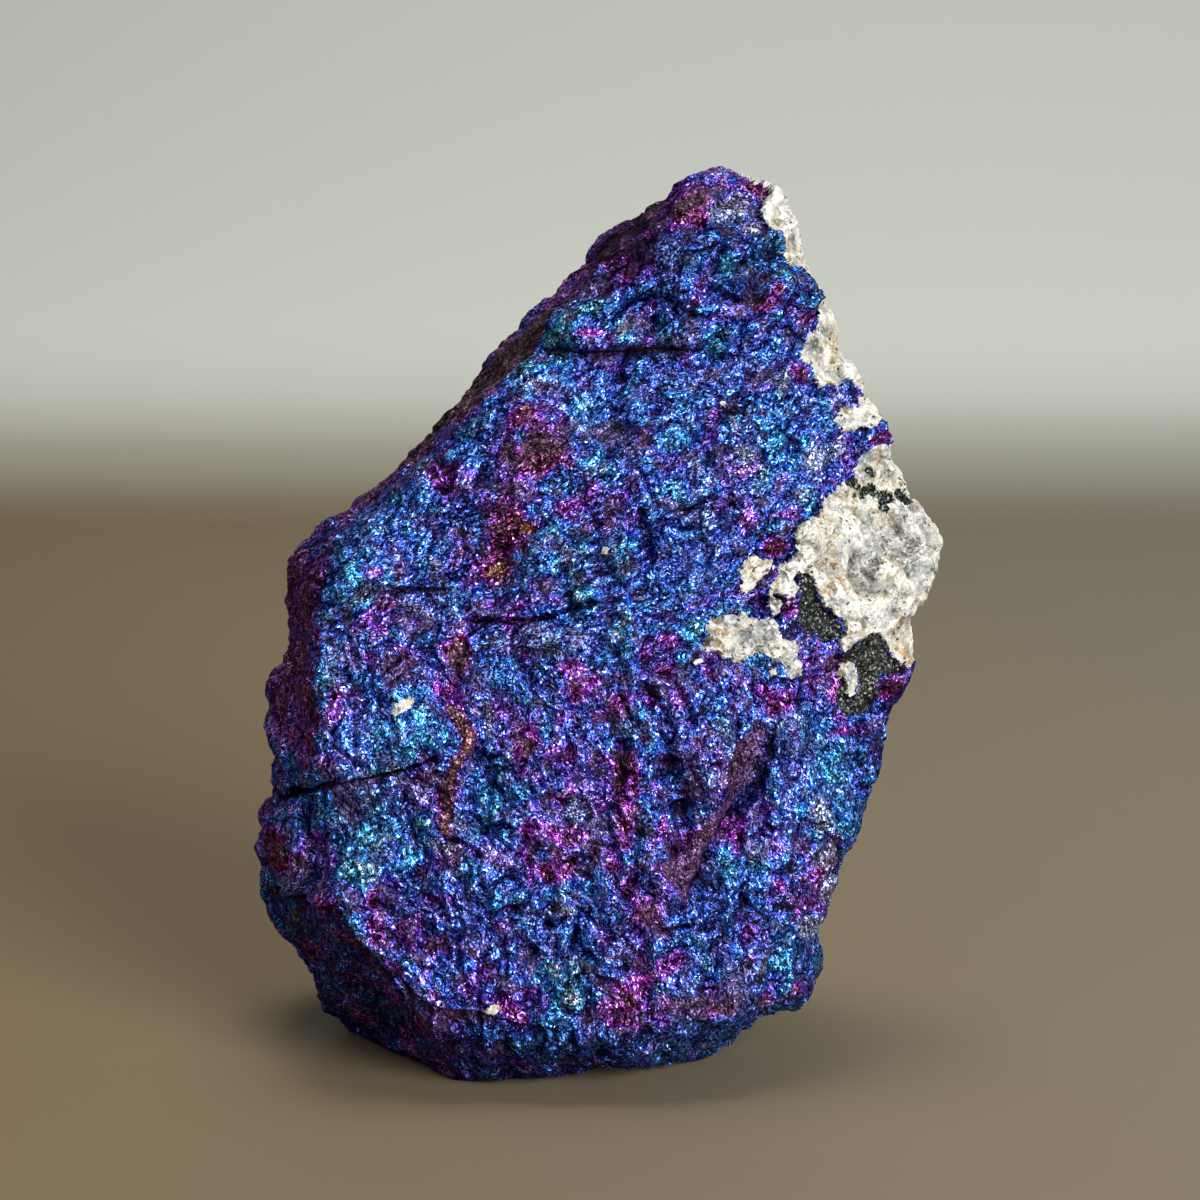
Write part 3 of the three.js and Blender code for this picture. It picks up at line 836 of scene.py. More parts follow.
SPOTS = seen_patches([
    ((10.2, 12.8), 2.6, 1.6, 30, MAROON), ((5.2, 24), 1.8, 3.2, 0, MAROON),
    (496, 573, 14, 10, 30, GOLD), (470, 583, 13, 11, 30, MAGENTA), (480, 562, 12, 5, 20, MAGENTA),
    (505, 545, 14, 12, 0, MAROON), (526, 407, 8.5, 5, 0, COPPER), (530, 456, 9, 4, 0, COPPER),
    (512, 515, 7, 14, 0, MAROON), (527, 525, 9, 7, 0, GOLD), (520, 440, 7, 5, 0, SKY),
    (531, 508, 6, 6, 0, SKY), (453, 456, 12, 6, 35, SKY), (463, 425, 13, 9, 40, SKY),
    (480, 406, 10, 8, 40, BLUE), (585, 402, 16, 13, 0, SKY), (640, 298, 16, 12, 0, SKY),
    (590, 308, 20, 9, 0, TEAL), (600, 322, 24, 7, 30, BLUE), (690, 438, 16, 12, 20, SKY),
    (715, 340, 13, 20, 0, TEAL), (662, 284, 20, 8, 0, SKY), (728, 266, 14, 12, 0, TEAL),
    (782, 428, 15, 12, 0, SKY), (804, 442, 14, 8, 0, SKY), (787, 464, 20, 9, 0, SKY),
    (765, 476, 8, 9, 0, TEAL), (742, 455, 16, 12, 0, BLUE), (698, 302, 8, 7, 0, MAGENTA),
    (655, 303, 7, 7, 0, VIOLET), (700, 285, 7, 7, 0, MAGENTA), (590, 335, 22, 4, 0, MAROON),
    (610, 336, 8, 8, 0, MAGENTA), (650, 342, 14, 6, 0, MAGENTA), (570, 464, 7, 9, 0, MAGENTA),
    (592, 490, 9, 13, 0, MAGENTA), (745, 520, 6, 8, 0, MAGENTA), (720, 505, 12, 14, 0, VIOLET),
    (790, 514, 16, 8, 10, MAGENTA), (846, 458, 12, 20, 0, VIOLET), (874, 438, 13, 8, 0, MAROON),
    (884, 434, 4, 8, 0, MAGENTA), (800, 372, 12, 9, 0, MAROON), (842, 395, 18, 12, 0, INDIGO),
    (780, 288, 8, 7, 0, COPPER), (765, 305, 13, 10, 0, MAROON), (805, 318, 12, 8, 0, MAROON),
    (700, 215, 12, 16, 0, MAROON), (758, 184, 20, 6, -10, MAROON), (725, 183, 9, 4, 0, MAGENTA),
    (558, 602, 12, 4, -20, MAGENTA), (550, 628, 6, 6, 0, VIOLET), (590, 680, 16, 5, 15, MAGENTA),
    (562, 690, 8, 5, 0, MAGENTA), (500, 682, 10, 12, 0, SKY), (515, 660, 6, 13, 20, SKY),
    (606, 660, 6, 9, -30, SKY), (616, 648, 4, 10, 0, BLUE), (672, 600, 14, 10, 0, SKY),
    (655, 628, 22, 8, 0, SKY), (665, 642, 14, 8, 0, MAGENTA), (668, 670, 8, 9, 0, MAGENTA),
    (655, 705, 12, 5, -30, MAGENTA), (622, 705, 9, 13, 0, MAGENTA), (505, 712, 18, 10, 0, VIOLET),
    (548, 725, 8, 20, 0, SKY), (560, 752, 20, 5, 0, MAGENTA), (388, 606, 14, 5, 20, MAROON),
    (372, 575, 12, 8, 0, MAGENTA), (424, 727, 12, 9, 0, SKY), (446, 738, 7, 4, 0, SKY),
    (412, 737, 6, 5, 0, SKY), ((14.8, 43), 1.2, 3.4, -15, MAGENTA), (345, 598, 8, 4, 0, SKY),
    (436, 945, 9, 9, 0, MAROON), (530, 990, 9, 5, 0, MAGENTA), (440, 900, 20, 5, 15, MAGENTA),
    (495, 925, 9, 9, 0, MAGENTA), (395, 830, 14, 14, 0, SKY), (325, 816, 10, 7, 0, SKY),
    (388, 812, 8, 6, 0, SKY), (470, 870, 14, 13, 0, SKY), ((55, 31.5), 1.2, 2.2, 0, MAROON),
    (606, 803, 9, 9, 0, MAGENTA), (664, 822, 5, 13, -20, MAGENTA), (540, 828, 16, 14, 0, MAGENTA),
    (566, 862, 20, 9, 0, MAGENTA), (610, 868, 12, 8, 0, MAGENTA), (628, 892, 9, 14, 20, MAGENTA),
    (570, 808, 9, 13, 0, BLUE), (664, 966, 22, 12, 30, MAGENTA), (640, 985, 15, 10, 40, MAGENTA),
    ((53, 11), 2.4, 1.2, 25, MAGENTA), (606, 960, 14, 5, 0, SKY), (690, 938, 9, 12, 30, SKY),
    (705, 960, 7, 10, 0, TEAL), (785, 987, 16, 9, 40, SKY), (766, 940, 7, 14, 0, VIOLET),
    (797, 908, 5, 16, -25, MAGENTA), (780, 885, 7, 8, 0, MAGENTA), (730, 868, 11, 16, 0, TEAL),
    (848, 822, 13, 18, 0, SKY), (860, 758, 16, 14, 0, SKY), (850, 732, 26, 5, 0, MAGENTA),
    (816, 648, 4, 12, -20, MAGENTA), (834, 690, 6, 12, 0, MAROON), (790, 612, 9, 12, 0, MAROON),
    (775, 546, 14, 13, 0, MAROON), (892, 690, 16, 20, 0, MAROON), (742, 828, 9, 30, -10, MAGENTA),
    (795, 740, 4, 12, 0, MAGENTA), (350, 945, 14, 12, 0, MAROON), (310, 950, 12, 16, 0, MAROON),
    (352, 948, 5, 8, -30, COPPER), (643, 211, 12, 4, 35, GOLD), (604, 245, 24, 7, 47, INDIGO),
    (288, 778, 18, 9, 0, INDIGO), (291, 610, 4, 8, 0, TEAL), (302, 692, 13, 2, 35, GOLD),
    (270, 845, 12, 30, 0, COPPER), (270, 790, 10, 3, 0, COPPER),
])

rolling = 0.2 * soft(skin, 9, 120) + 0.2 * soft(warped, 4, 121)
film = FILM_MIDDLE - 0.08 * low_part + (0.7 + 0.4 * low_part) * rolling
calm = np.zeros(len(skin))
for *place, colour in ZONES:
    zone = patch(*place)
    film += ZONE_PULL * zone * (colour - film)
    if colour > INDIGO:
        calm = np.maximum(calm, BLUE_CALM * zone)
for *place, colour in SPOTS:
    spot = patch(*place)
    film += SPOT_PULL * spot * (colour - film)
    calm = np.maximum(calm, spot)
# partly painted shade: the film turns redder in the hollows, as shaded skin looks, besides the
# tarnish that gathers there
film -= HOLLOW_PULL * np.clip(hollow, -0.4, 0.6)
print(f"the tarnish film runs from {film.min():.2f} to {film.max():.2f}")

# %% Faces of the stone
SHOULDER_FACING = np.array([-0.69, -0.16, 0.7])

towards_front = ease(skin[:, 1] + 5 * soft(skin, 7, 133), 11, -5)
broken_up = ease(soft(warped, 6, 134), -0.6, 0.2)
left_face = ease(-wide_facing[:, 0] + 0.2 * soft(warped, 4, 135), 0.5, 0.8) * (1 - on_front)
left_face *= ease(skin[:, 2] + 5 * soft(skin, 8, 136), 29, 37)
left_face = np.maximum(left_face, left_of_edge) * (0.6 + 0.4 * broken_up) * towards_front
shoulder_band = ease(wide_facing @ SHOULDER_FACING + 0.1 * soft(warped, 3, 132), 0.78, 0.9)
shoulder_reach = ease(skin[:, 1] + 5 * soft(skin, 7, 151), 17, 5)
shoulder_band *= (1 - on_front) * (0.4 + 0.6 * broken_up) * shoulder_reach
beyond_bevel, along = line(BEVEL_EDGE, 0.3)
bevel_line = ease(np.abs(beyond_bevel + 0.3), 0.6, 0.1) * on_front
bevel_line *= ease(soft(warped, 3, 137), -0.4, 0.2)
bevel_line *= ease(along, 0, 0.05) * ease(along, 1, 0.95)
beyond_bevel = ease(beyond_bevel - 0.8 * along, 0.3, -0.3) * ease(beyond_bevel, -9, -7)
beyond_bevel *= shoulder_reach
beyond_bevel *= ease(along, 0, 0.05) * ease(along, 1, 0.95) * (0.5 + 0.5 * broken_up)
shoulder_band = np.maximum(shoulder_band, beyond_bevel)
under = ease(-wide_facing[:, 2], 0.25, 0.5)
below_undercut = ease(line(UNDERCUT, 0.4)[0], 0.2, -0.6) * on_front
below_undercut *= ease(skin[:, 0], 0.12 * wide / MM, 0.0)
vein_rim = ease(np.abs(line(VEIN, 0.3)[0]), 1.4, 0.7) * on_front
vein_rim *= ease(soft(warped, 3, 152), -0.5, 0.3)
valley_side = ease(inside(VALLEY_SIDE, 0.3) + 0.5, -0.3, 0.3) * on_front
film += 0.9 * left_face * (MAROON - 0.04 + 0.07 * soft(warped, 2.5, 138) - film)
film += 0.85 * shoulder_band * (MAROON - 0.05 + 0.09 * soft(warped, 3, 139) - film)
film += 0.9 * bevel_line * (COPPER - film)
film += 0.85 * vein_rim * (MAGENTA - film)
film += vein * (GOLD + 0.08 - film)
film += 0.7 * valley_facet * (MAROON - film)
film += 0.9 * valley_side * (INDIGO - film)
film += 0.7 * under * on_front * (1 - below_undercut) * (BLUE + 0.05 - film)
calm = np.maximum.reduce([
    calm, vein_rim, 0.5 * valley_facet, valley_side, 0.5 * left_face, 0.5 * shoulder_band])

# %% [markdown]
# Besides the film, three numbers say how the skin looks: `dull` is brown-grey and matt, where no film
# shows, `silver` is bare fresh metal, and the third says how light the grains are painted. Besides a
# random tone it holds painted light and shade: ovals painted lighter or darker, painted shade in the
# cracks, creases, valley and underside and below the undercut, and painted shade on the left face and
# the shoulder, which turn away from the lamp.

# %% Dull, silvery and bright skin
DULL_PATCHES = seen_patches([
    (545, 445, 26, 13, 0), (457, 655, 14, 18, 0), (690, 792, 13, 20, 0), (660, 930, 16, 9, 0),
    (735, 1000, 20, 14, 0), (690, 1003, 34, 12, 0), (350, 812, 12, 16, 0), (300, 872, 14, 8, 0),
    (612, 955, 10, 6, 0), (610, 430, 18, 14, 0), (545, 588, 16, 8, 0), (640, 350, 50, 5, 0),
    (756, 300, 14, 14, 0), (705, 195, 30, 12, 20), (385, 1008, 9, 9, 0), (436, 945, 8, 9, 0),
    (460, 1015, 40, 8, -5), (760, 965, 5, 24, -10),
])
SILVER_PATCHES = seen_patches([
    ((70.5, 95.8), 2.8, 1.5, 30), ((73.3, 93.8), 1.3, 0.9, 20), (784, 382, 8, 16, 0),
    (834, 450, 13, 9, 0), (814, 460, 10, 13, 0), (800, 494, 8, 7, 0), (745, 453, 14, 10, 0),
    (822, 815, 12, 22, 0), (824, 852, 18, 14.5, 0), (828, 885, 10, 22, 0), (808, 926, 12, 14, 0),
    (440, 848, 22, 5, 0), (745, 972, 6, 12, -20), (404, 1043, 7, 5, 0), (490, 720, 5, 18, 0),
    (560, 912, 16, 5, 0), (570, 803, 8, 10, 0),
])
# painted light and shade: ovals where the grains are painted lighter, as facets that catch the lamp,
# or darker, as notches and ledges in shade; the last number is the change
PAINTED_LIGHT_AND_SHADE_PATCHES = seen_patches([
    (288, 778, 18, 9, 0, -0.4), (380, 740, 80, 50, 10, 0.35), ((19, 28), 8, 6, 0, 0.5),
    ((42, 70.5), 4.5, 4, 0, -0.35), (300, 840, 26, 46, 0, 0.3), ((46.5, 28), 11, 11, 0, 0.22),
    (830, 790, 50, 60, 0, 0.15), ((24, 55), 8, 8, 0, 0.2), ((66, 91), 13.5, 9, 0, -0.58),
    ((70.5, 95.8), 2.8, 1.5, 30, 0.4), (700, 1040, 80, 14, 0, -0.1), (892, 692, 20, 24, 0, -0.5),
    (842, 396, 18, 12, 0, -0.4), ((57, 13), 4.5, 2, 28, 0.35), ((14.8, 43), 1.2, 3.4, -15, 0.4),
    ((79, 17), 4, 5, 0, 0.25), (620, 255, 60, 30, 45, -0.3), (610, 350, 90, 9, 0, -0.5),
    ((81.5, 84), 2.6, 4.5, 0, -0.4), ((60, 74), 16, 8, 0, -0.1), (496, 573, 14, 10, 30, 0.8),
    ((10.2, 12.8), 2.2, 1.4, 30, 0.5),
])

dull = 0.75 * shoulder_band + 0.25 * left_face + 0.1 * under + 0.8 * vein + 0.6 * bevel_line
for place in DULL_PATCHES:
    dull = np.maximum(dull, 0.8 * patch(*place))
dull = np.maximum(dull, 0.78 * valley_facet)
silver = 0.3 * ease(soft(warped, 5, 140) + 0.6 * soft(skin, 1.6, 141), 0.5, 1.0)
for place in SILVER_PATCHES:
    silver = np.maximum(silver, 0.8 * patch(*place))
# how light the grains are painted: a random tone, with painted light and shade added below
tone_and_painted_light = 1.15 + 0.3 * soft(warped, 5, 150) + 0.15 * crumple(warped, 8, 151)
for *place, gain in PAINTED_LIGHT_AND_SHADE_PATCHES:
    tone_and_painted_light += gain * patch(*place)
# painted shade in the cracks and furrows
CRACK_SHADES = [(LEFT_CRACK, 0.8), (UPPER_CRACK, 0.7)]
CRACK_SHADES += [(path, 0.45) for path in SMALL_CRACKS + FURROWS]
for path, shade in CRACK_SHADES:
    distance, along = line(path, 0.25)
    in_crack = ease(along, 0, 0.1) * ease(along, 1, 0.9) * on_front * ease(np.abs(distance), 0.6, 0.1)
    tone_and_painted_light *= 1 - shade * in_crack
# painted shade: the left face and the shoulder turn away from the lamp, and the valley, the creases
# and the undercut lie in shade, so they are painted darker
tone_and_painted_light *= 1 - 0.2 * left_face
tone_and_painted_light *= 1 - 0.25 * shoulder_band
tone_and_painted_light *= 1 - 0.45 * valley_side
tone_and_painted_light *= 1 - 0.2 * valley_facet
tone_and_painted_light *= 1 - 0.5 * crease
tone_and_painted_light *= 1 - 0.1 * under * on_front
tone_and_painted_light *= 1 - 0.5 * below_undercut
print(f"{100 * (dull > 0.5).mean():.0f} % of the skin is dull, "
      f"{100 * (silver > 0.3).mean():.0f} % is silvery")


# %% Keep the numbers with the mesh
def write(name, values):
    """Keeps one number for each corner, which a shader reads by its name."""
    attribute = stone.data.attributes.new(name, "FLOAT", "POINT")
    attribute.data.foreach_set("value", values.astype(np.float32))


GREY_ROCK = seen_patches([
    (905, 545, 28, 44, 0), (868, 572, 14, 28, 0), (862, 525, 10, 9, 0), (800, 650, 10, 14, 0),
    (752, 630, 30, 14, 0), (790, 668, 14, 14, 0), ((87, 44.3), 1.4, 2, 0), ((89.5, 67.5), 1, 1, 0),
    (812, 345, 12, 14, 0), (868, 460, 8, 12, 0),
])
TAN_ROCK = seen_patches([
    (850, 496, 16, 9, 0), (877, 524, 10, 8, 0), (830, 570, 14, 30, 0), (900, 640, 16, 22, 0),
    (832, 345, 10, 34, 0), (795, 255, 10, 14, 0), (775, 590, 9, 10, 0), (880, 462, 8, 10, 0),
])
grey = np.zeros(len(skin))
for place in GREY_ROCK:
    grey = np.maximum(grey, patch(*place))
tan = np.zeros(len(skin))
for place in TAN_ROCK:
    tan = np.maximum(tan, patch(*place))
write("film", film)
write("dull", np.clip(dull, 0, 1))
write("silver", np.clip(silver, 0, 1))
write("tone_and_painted_light", tone_and_painted_light)
write("hollow", np.clip(0.5 + hollow, 0, 1))
write("steep", ease(low_part + 0.4 * fine_warp[:, 1], 0.49, 0.51))
write("rock", rock)
write("black", black)
write("grey", grey)
write("tan", tan)
write("calm", calm)

# %% [markdown]
# ## Fewer triangles
#
# The fine skin has far more triangles than a part should carry. Decimating merges the flattest
# ones first, so the sharp folds stay.

# %% Fewer triangles
MOST_TRIANGLES = 196000
stone.modifiers.new("triangles", "TRIANGULATE")
fewer = stone.modifiers.new("fewer", "DECIMATE")
fewer.ratio = MOST_TRIANGLES / (2 * len(stone.data.polygons))
apply_modifiers(stone)
print(f"the carved skin has {len(stone.data.polygons)} triangles")

# %% [markdown]
# ## Tarnished ore
#
# The ore is chalcopyrite, a brassy metal-like mineral, broken rough by a hammer and then
# tarnished. The break leaves crystal grains of about 0.3 mm with dark lines between them, and
# each turns its own way, so a soft lamp makes some flash and leaves others dark. The film gives
# each patch its colour and hardly changes within a grain. A bump map could tilt the grains, but a
# random tilt for each cell of a Voronoi texture gives flat, hard-edged flakes, as crystals have.

# %% Where the grains run
GRAIN = 0.30
SAND = 0.16
FLAKE = 1.0
PLATE = 2.4
CLOUD = 3.4
STAIN = 2.4
RIPPLE = 0.5
GRAIN_TIMES = 1.8

ore, tree = new_material("tarnished_chalcopyrite")
place = add(tree, "TexCoord").outputs["Object"]
mm_place = add(tree, "VectorMath", {"Vector": place, "Scale": 1 / MM}, operation="SCALE")
bend = add(tree, "TexNoise", {"Vector": mm_place, "Scale": 1 / 1.3, "Detail": 1})
bent = add(tree, "VectorMath", {0: bend.outputs["Color"], 1: (1.4, 1.4, 1.4), 2: mm_place},
           operation="MULTIPLY_ADD")
steep_here = add(tree, "Attribute", attribute_name="steep").outputs["Fac"]
upper_grain, lower_grain = [add(tree, "Mapping", {
    "Vector": bent, "Rotation": (0, math.radians(90 - run), 0), "Scale": (1, 1, GRAIN_TIMES)},
    vector_type="TEXTURE") for run in (UPPER_LEAN, LOWER_LEAN)]
sharp_steep = add(tree, "Math", {0: steep_here, 1: 0.5}, operation="GREATER_THAN")
along_grain = add(tree, "Mix", {0: sharp_steep, 4: upper_grain, 5: lower_grain},
                  data_type="VECTOR").outputs[1]
print(f"the grains are {GRAIN:.2f} mm wide and {GRAIN * GRAIN_TIMES:.2f} mm long")

# %% Grains, flakes and stains
grain = add(tree, "TexVoronoi", {"Vector": along_grain, "Scale": 1 / GRAIN})
grain_edge = add(tree, "TexVoronoi", {"Vector": along_grain, "Scale": 1 / GRAIN},
                 feature="DISTANCE_TO_EDGE")
sand = add(tree, "TexVoronoi", {"Vector": along_grain, "Scale": 1 / SAND})
flake = add(tree, "TexVoronoi", {"Vector": along_grain, "Scale": 1 / FLAKE})
flake_edge = add(tree, "TexVoronoi", {"Vector": along_grain, "Scale": 1 / FLAKE},
                 feature="DISTANCE_TO_EDGE")
plate_edge = add(tree, "TexVoronoi", {"Vector": bent, "Scale": 1 / PLATE}, feature="DISTANCE_TO_EDGE")
cloud = add(tree, "TexNoise", {"Vector": mm_place, "Scale": 1 / CLOUD, "Detail": 2})
ripple = add(tree, "TexNoise", {
    "Vector": along_grain, "Scale": 1 / RIPPLE, "Detail": 3, "Roughness": 0.7})
split_grain = add(tree, "SeparateColor", {"Color": grain.outputs["Color"]})
split_sand = add(tree, "SeparateColor", {"Color": sand.outputs["Color"]})
split_flake = add(tree, "SeparateColor", {"Color": flake.outputs["Color"]})
stain = add(tree, "TexNoise", {"Vector": bent, "Scale": 1 / STAIN, "Detail": 2})
stain = add(tree, "MapRange", {"Value": stain, "From Min": 0.52, "From Max": 0.61, "To Max": 0.75})
calm_here = add(tree, "Attribute", attribute_name="calm").outputs["Fac"]
lively = add(tree, "MapRange", {"Value": calm_here, "To Min": 1.0, "To Max": 0.3})
stain = add(tree, "Math", {0: stain, 1: lively}, operation="MULTIPLY")
dull_here = add(tree, "Attribute", attribute_name="dull").outputs["Fac"]
dull_here = add(tree, "Math", {0: dull_here, 1: stain}, operation="MAXIMUM")

# %% Colour of the film
FILM_COLOURS = [
    (0.0, "#c88c38"), (0.06, "#a84818"), (0.13, "#741a24"), (0.2, "#7a1a44"), (0.3, "#a42fc0"),
    (0.41, "#7c4cdc"), (0.54, "#4258e0"), (0.66, "#286cf4"), (0.78, "#268ef8"), (0.9, "#1a90b8"),
    (1.0, "#8fa0b8"),
]
# the pale colour of bare metal, also used for the painted glints
BARE_METAL_AND_GLINT = "#bcc8f4"
DULL_BROWN = "#5e4c4a"
MAROON_LIMIT = 0.15
CLOUD_SWING, FLAKE_SWING, GRAIN_SWING = 1.0, 0.15, 0.06

film_here = add(tree, "Attribute", attribute_name="film").outputs["Fac"]
swing = add(tree, "Math", {0: split_flake.outputs[0], 1: 0.5}, operation="SUBTRACT")
swing = add(tree, "Math", {0: swing, 1: FLAKE_SWING}, operation="MULTIPLY")
cloud_swing = add(tree, "Math", {0: cloud, 1: 0.5}, operation="SUBTRACT")
swing = add(tree, "Math", {0: cloud_swing, 1: CLOUD_SWING, 2: swing}, operation="MULTIPLY_ADD")
grain_swing = add(tree, "Math", {0: split_grain.outputs[1], 1: 0.5}, operation="SUBTRACT")
swing = add(tree, "Math", {0: grain_swing, 1: GRAIN_SWING, 2: swing}, operation="MULTIPLY_ADD")
no_copper = add(tree, "Math", {0: film_here, 1: MAROON_LIMIT}, operation="MINIMUM")
film_here = add(tree, "Math", {0: swing, 1: lively, 2: film_here}, operation="MULTIPLY_ADD")
film_here = add(tree, "Math", {0: film_here, 1: no_copper}, operation="MAXIMUM")
tint = add(tree, "ValToRGB", {"Fac": film_here}, FILM_COLOURS)
silver_here = add(tree, "Attribute", attribute_name="silver").outputs["Fac"]
# painted glints: the lightest sand grains are painted pale, as mirrored lamp light, on top of the
# silvery patches of bare metal
pale = add(tree, "MapRange", {"Value": split_sand.outputs[0], "From Min": 0.6, "To Max": 0.32})
pale = add(tree, "Math", {0: silver_here, 1: 0.8, 2: pale}, operation="MULTIPLY_ADD", use_clamp=True)
tint = add(tree, "Mix", {0: pale, 6: tint, 7: linear(BARE_METAL_AND_GLINT)}, data_type="RGBA").outputs[2]
tint = add(tree, "Mix", {0: dull_here, 6: tint, 7: linear(DULL_BROWN)}, data_type="RGBA").outputs[2]

# %% Light and dark of the grains
DARKEST = "#12071c"

light = add(tree, "MapRange", {"Value": split_grain.outputs[1], "To Min": 0.7, "To Max": 1.5})
flake_light = add(tree, "MapRange", {"Value": split_flake.outputs[1], "To Min": 0.72, "To Max": 1.4})
flake_gap = add(tree, "MapRange", {"Value": flake_edge, "From Max": 0.07, "To Min": 0.45})
hollow_here = add(tree, "Attribute", attribute_name="hollow").outputs["Fac"]
# painted shade and light: hollows are painted darker and ridges lighter
shade = add(tree, "MapRange", {
    "Value": hollow_here, "From Min": 0.3, "From Max": 0.95, "To Min": 1.25, "To Max": 0.12})
grain_gap = add(tree, "MapRange", {
    "Value": grain_edge, "From Max": 0.2, "To Min": 0.05, "To Max": 1.15})
wrinkle = add(tree, "TexNoise", {"Vector": along_grain, "Scale": 1 / 1.1, "Detail": 1})
wrinkle = add(tree, "Math", {0: wrinkle, 1: 0.5}, operation="SUBTRACT")
wrinkle = add(tree, "Math", {0: wrinkle}, operation="ABSOLUTE")
wrinkle = add(tree, "MapRange", {"Value": wrinkle, "From Max": 0.035, "To Min": 0.15})
plate_gap = add(tree, "MapRange", {"Value": plate_edge, "From Max": 0.06, "To Min": 0.12})
gap_there = add(tree, "MapRange", {
    "Value": cloud, "From Min": 0.5, "From Max": 0.54, "To Min": 1, "To Max": 0})
plate_gap = add(tree, "Math", {0: plate_gap, 1: gap_there}, operation="MAXIMUM")
# painted glints: sand grains are painted up to 2.8 times lighter
painted_glint = add(tree, "Math", {0: split_sand.outputs[0], 1: 1.5}, operation="POWER")
painted_glint = add(tree, "Math", {0: painted_glint, 1: 2.8}, operation="MULTIPLY")
# how light the grains are painted, with the painted light and shade worked out on the mesh
value = add(tree, "Attribute", attribute_name="tone_and_painted_light").outputs["Fac"]
for part in (light, flake_light, flake_gap, shade, grain_gap, wrinkle, plate_gap, painted_glint):
    value = add(tree, "Math", {0: value, 1: part}, operation="MULTIPLY")
tint = add(tree, "VectorMath", {0: tint, "Scale": value}, operation="SCALE")
tint = add(tree, "VectorMath", {0: tint, 1: linear(DARKEST)[:3]}, operation="ADD")

# %% Tilt of the grains
GRAIN_TILT, FLAKE_TILT, RIPPLE_TILT = 0.4, 0.35, 1.8
VIOLET_GLOSS = "#b8a8e0"
HALF = (0.5, 0.5, 0.5)

tilted = add(tree, "NewGeometry").outputs["Normal"]
for pattern, amount in ((grain, GRAIN_TILT), (flake, FLAKE_TILT), (ripple, RIPPLE_TILT)):
    lean = add(tree, "VectorMath", {0: pattern.outputs["Color"], 1: HALF}, operation="SUBTRACT")
    tilted = add(tree, "VectorMath", {0: lean, 1: (amount, amount, amount), 2: tilted},
                 operation="MULTIPLY_ADD")
tilted = add(tree, "VectorMath", {0: tilted}, operation="NORMALIZE")
rough = add(tree, "MapRange", {"Value": dull_here, "To Min": 0.48, "To Max": 0.6})
metal = add(tree, "MapRange", {"Value": dull_here, "To Min": 1.0, "To Max": 0.6})
shader = add(tree, "BsdfPrincipled", {
    "Base Color": tint, "Metallic": metal, "Roughness": rough, "Normal": tilted,
    "Specular Tint": linear(VIOLET_GLOSS)})
add(tree, "OutputMaterial", {"Surface": shader})
print(f"{ore.name} has {len(tree.nodes)} nodes")

# %% [markdown]
# ## Host rock
#
# The rock is fine quartz and feldspar, broken like sugar: cream, stained tan in places, with
# clear grey grains. Each grain of about 0.3 mm gets its own tone and tilt, and broad blotches
# turn it tan or grey. Glassy grains give it a soft gloss.

# %% Sugary rock
SUGAR = 0.32
CRYSTAL = 1.1
BLOTCH = 4.5
MOTTLE = 2.4
DARK_SPECK = "#3c3f40"
CRYSTAL_TILT, SUGAR_TILT = 0.7, 0.6

host, tree = new_material("sugary_host_rock")
place = add(tree, "TexCoord").outputs["Object"]
mm_place = add(tree, "VectorMath", {"Vector": place, "Scale": 1 / MM}, operation="SCALE")
sugar = add(tree, "TexVoronoi", {"Vector": mm_place, "Scale": 1 / SUGAR})
crystal = add(tree, "TexVoronoi", {"Vector": mm_place, "Scale": 1 / CRYSTAL})
sugar_edge = add(tree, "TexVoronoi", {"Vector": mm_place, "Scale": 1 / (2.2 * SUGAR)},
                 feature="DISTANCE_TO_EDGE")
split = add(tree, "SeparateColor", {"Color": sugar.outputs["Color"]})
split_crystal = add(tree, "SeparateColor", {"Color": crystal.outputs["Color"]})
blotch = add(tree, "TexNoise", {
    "Vector": mm_place, "Scale": 1 / BLOTCH, "Detail": 3, "Roughness": 0.65})
clouded = add(tree, "TexNoise", {
    "Vector": mm_place, "Scale": 1 / MOTTLE, "Detail": 4, "Roughness": 0.7})
share = add(tree, "Math", {0: split.outputs[0], 1: 0.22, 2: blotch}, operation="MULTIPLY_ADD")
share = add(tree, "Math", {0: split_crystal.outputs[0], 1: 0.34, 2: share}, operation="MULTIPLY_ADD")
tan_here = add(tree, "Attribute", attribute_name="tan").outputs["Fac"]
share = add(tree, "Math", {0: tan_here, 1: -0.2, 2: share}, operation="MULTIPLY_ADD")
cream = add(tree, "ValToRGB", {"Fac": share},
            [(0.36, "#a08560"), (0.52, "#c2b190"), (0.66, "#cfcabc"), (0.95, "#e6e5e0")])
grey_here = add(tree, "Attribute", attribute_name="grey").outputs["Fac"]
grey_here = add(tree, "Math", {0: grey_here, 1: 0.16, 2: clouded}, operation="MULTIPLY_ADD")
grey_share = add(tree, "MapRange", {
    "Value": grey_here, "From Min": 0.55, "From Max": 0.63, "To Max": 0.8})
grey_grain = add(tree, "ValToRGB", {"Fac": split.outputs[1]},
                 [(0.0, "#4a4e50"), (0.3, "#84888a"), (0.7, "#b4b6b6"), (1.0, "#d4d5d3")])
tint = add(tree, "Mix", {0: grey_share, 6: cream, 7: grey_grain}, data_type="RGBA").outputs[2]
speck = add(tree, "MapRange", {"Value": split.outputs[2], "From Min": 0.975, "From Max": 0.99})
tint = add(tree, "Mix", {0: speck, 6: tint, 7: linear(DARK_SPECK)}, data_type="RGBA").outputs[2]
hollow_here = add(tree, "Attribute", attribute_name="hollow").outputs["Fac"]
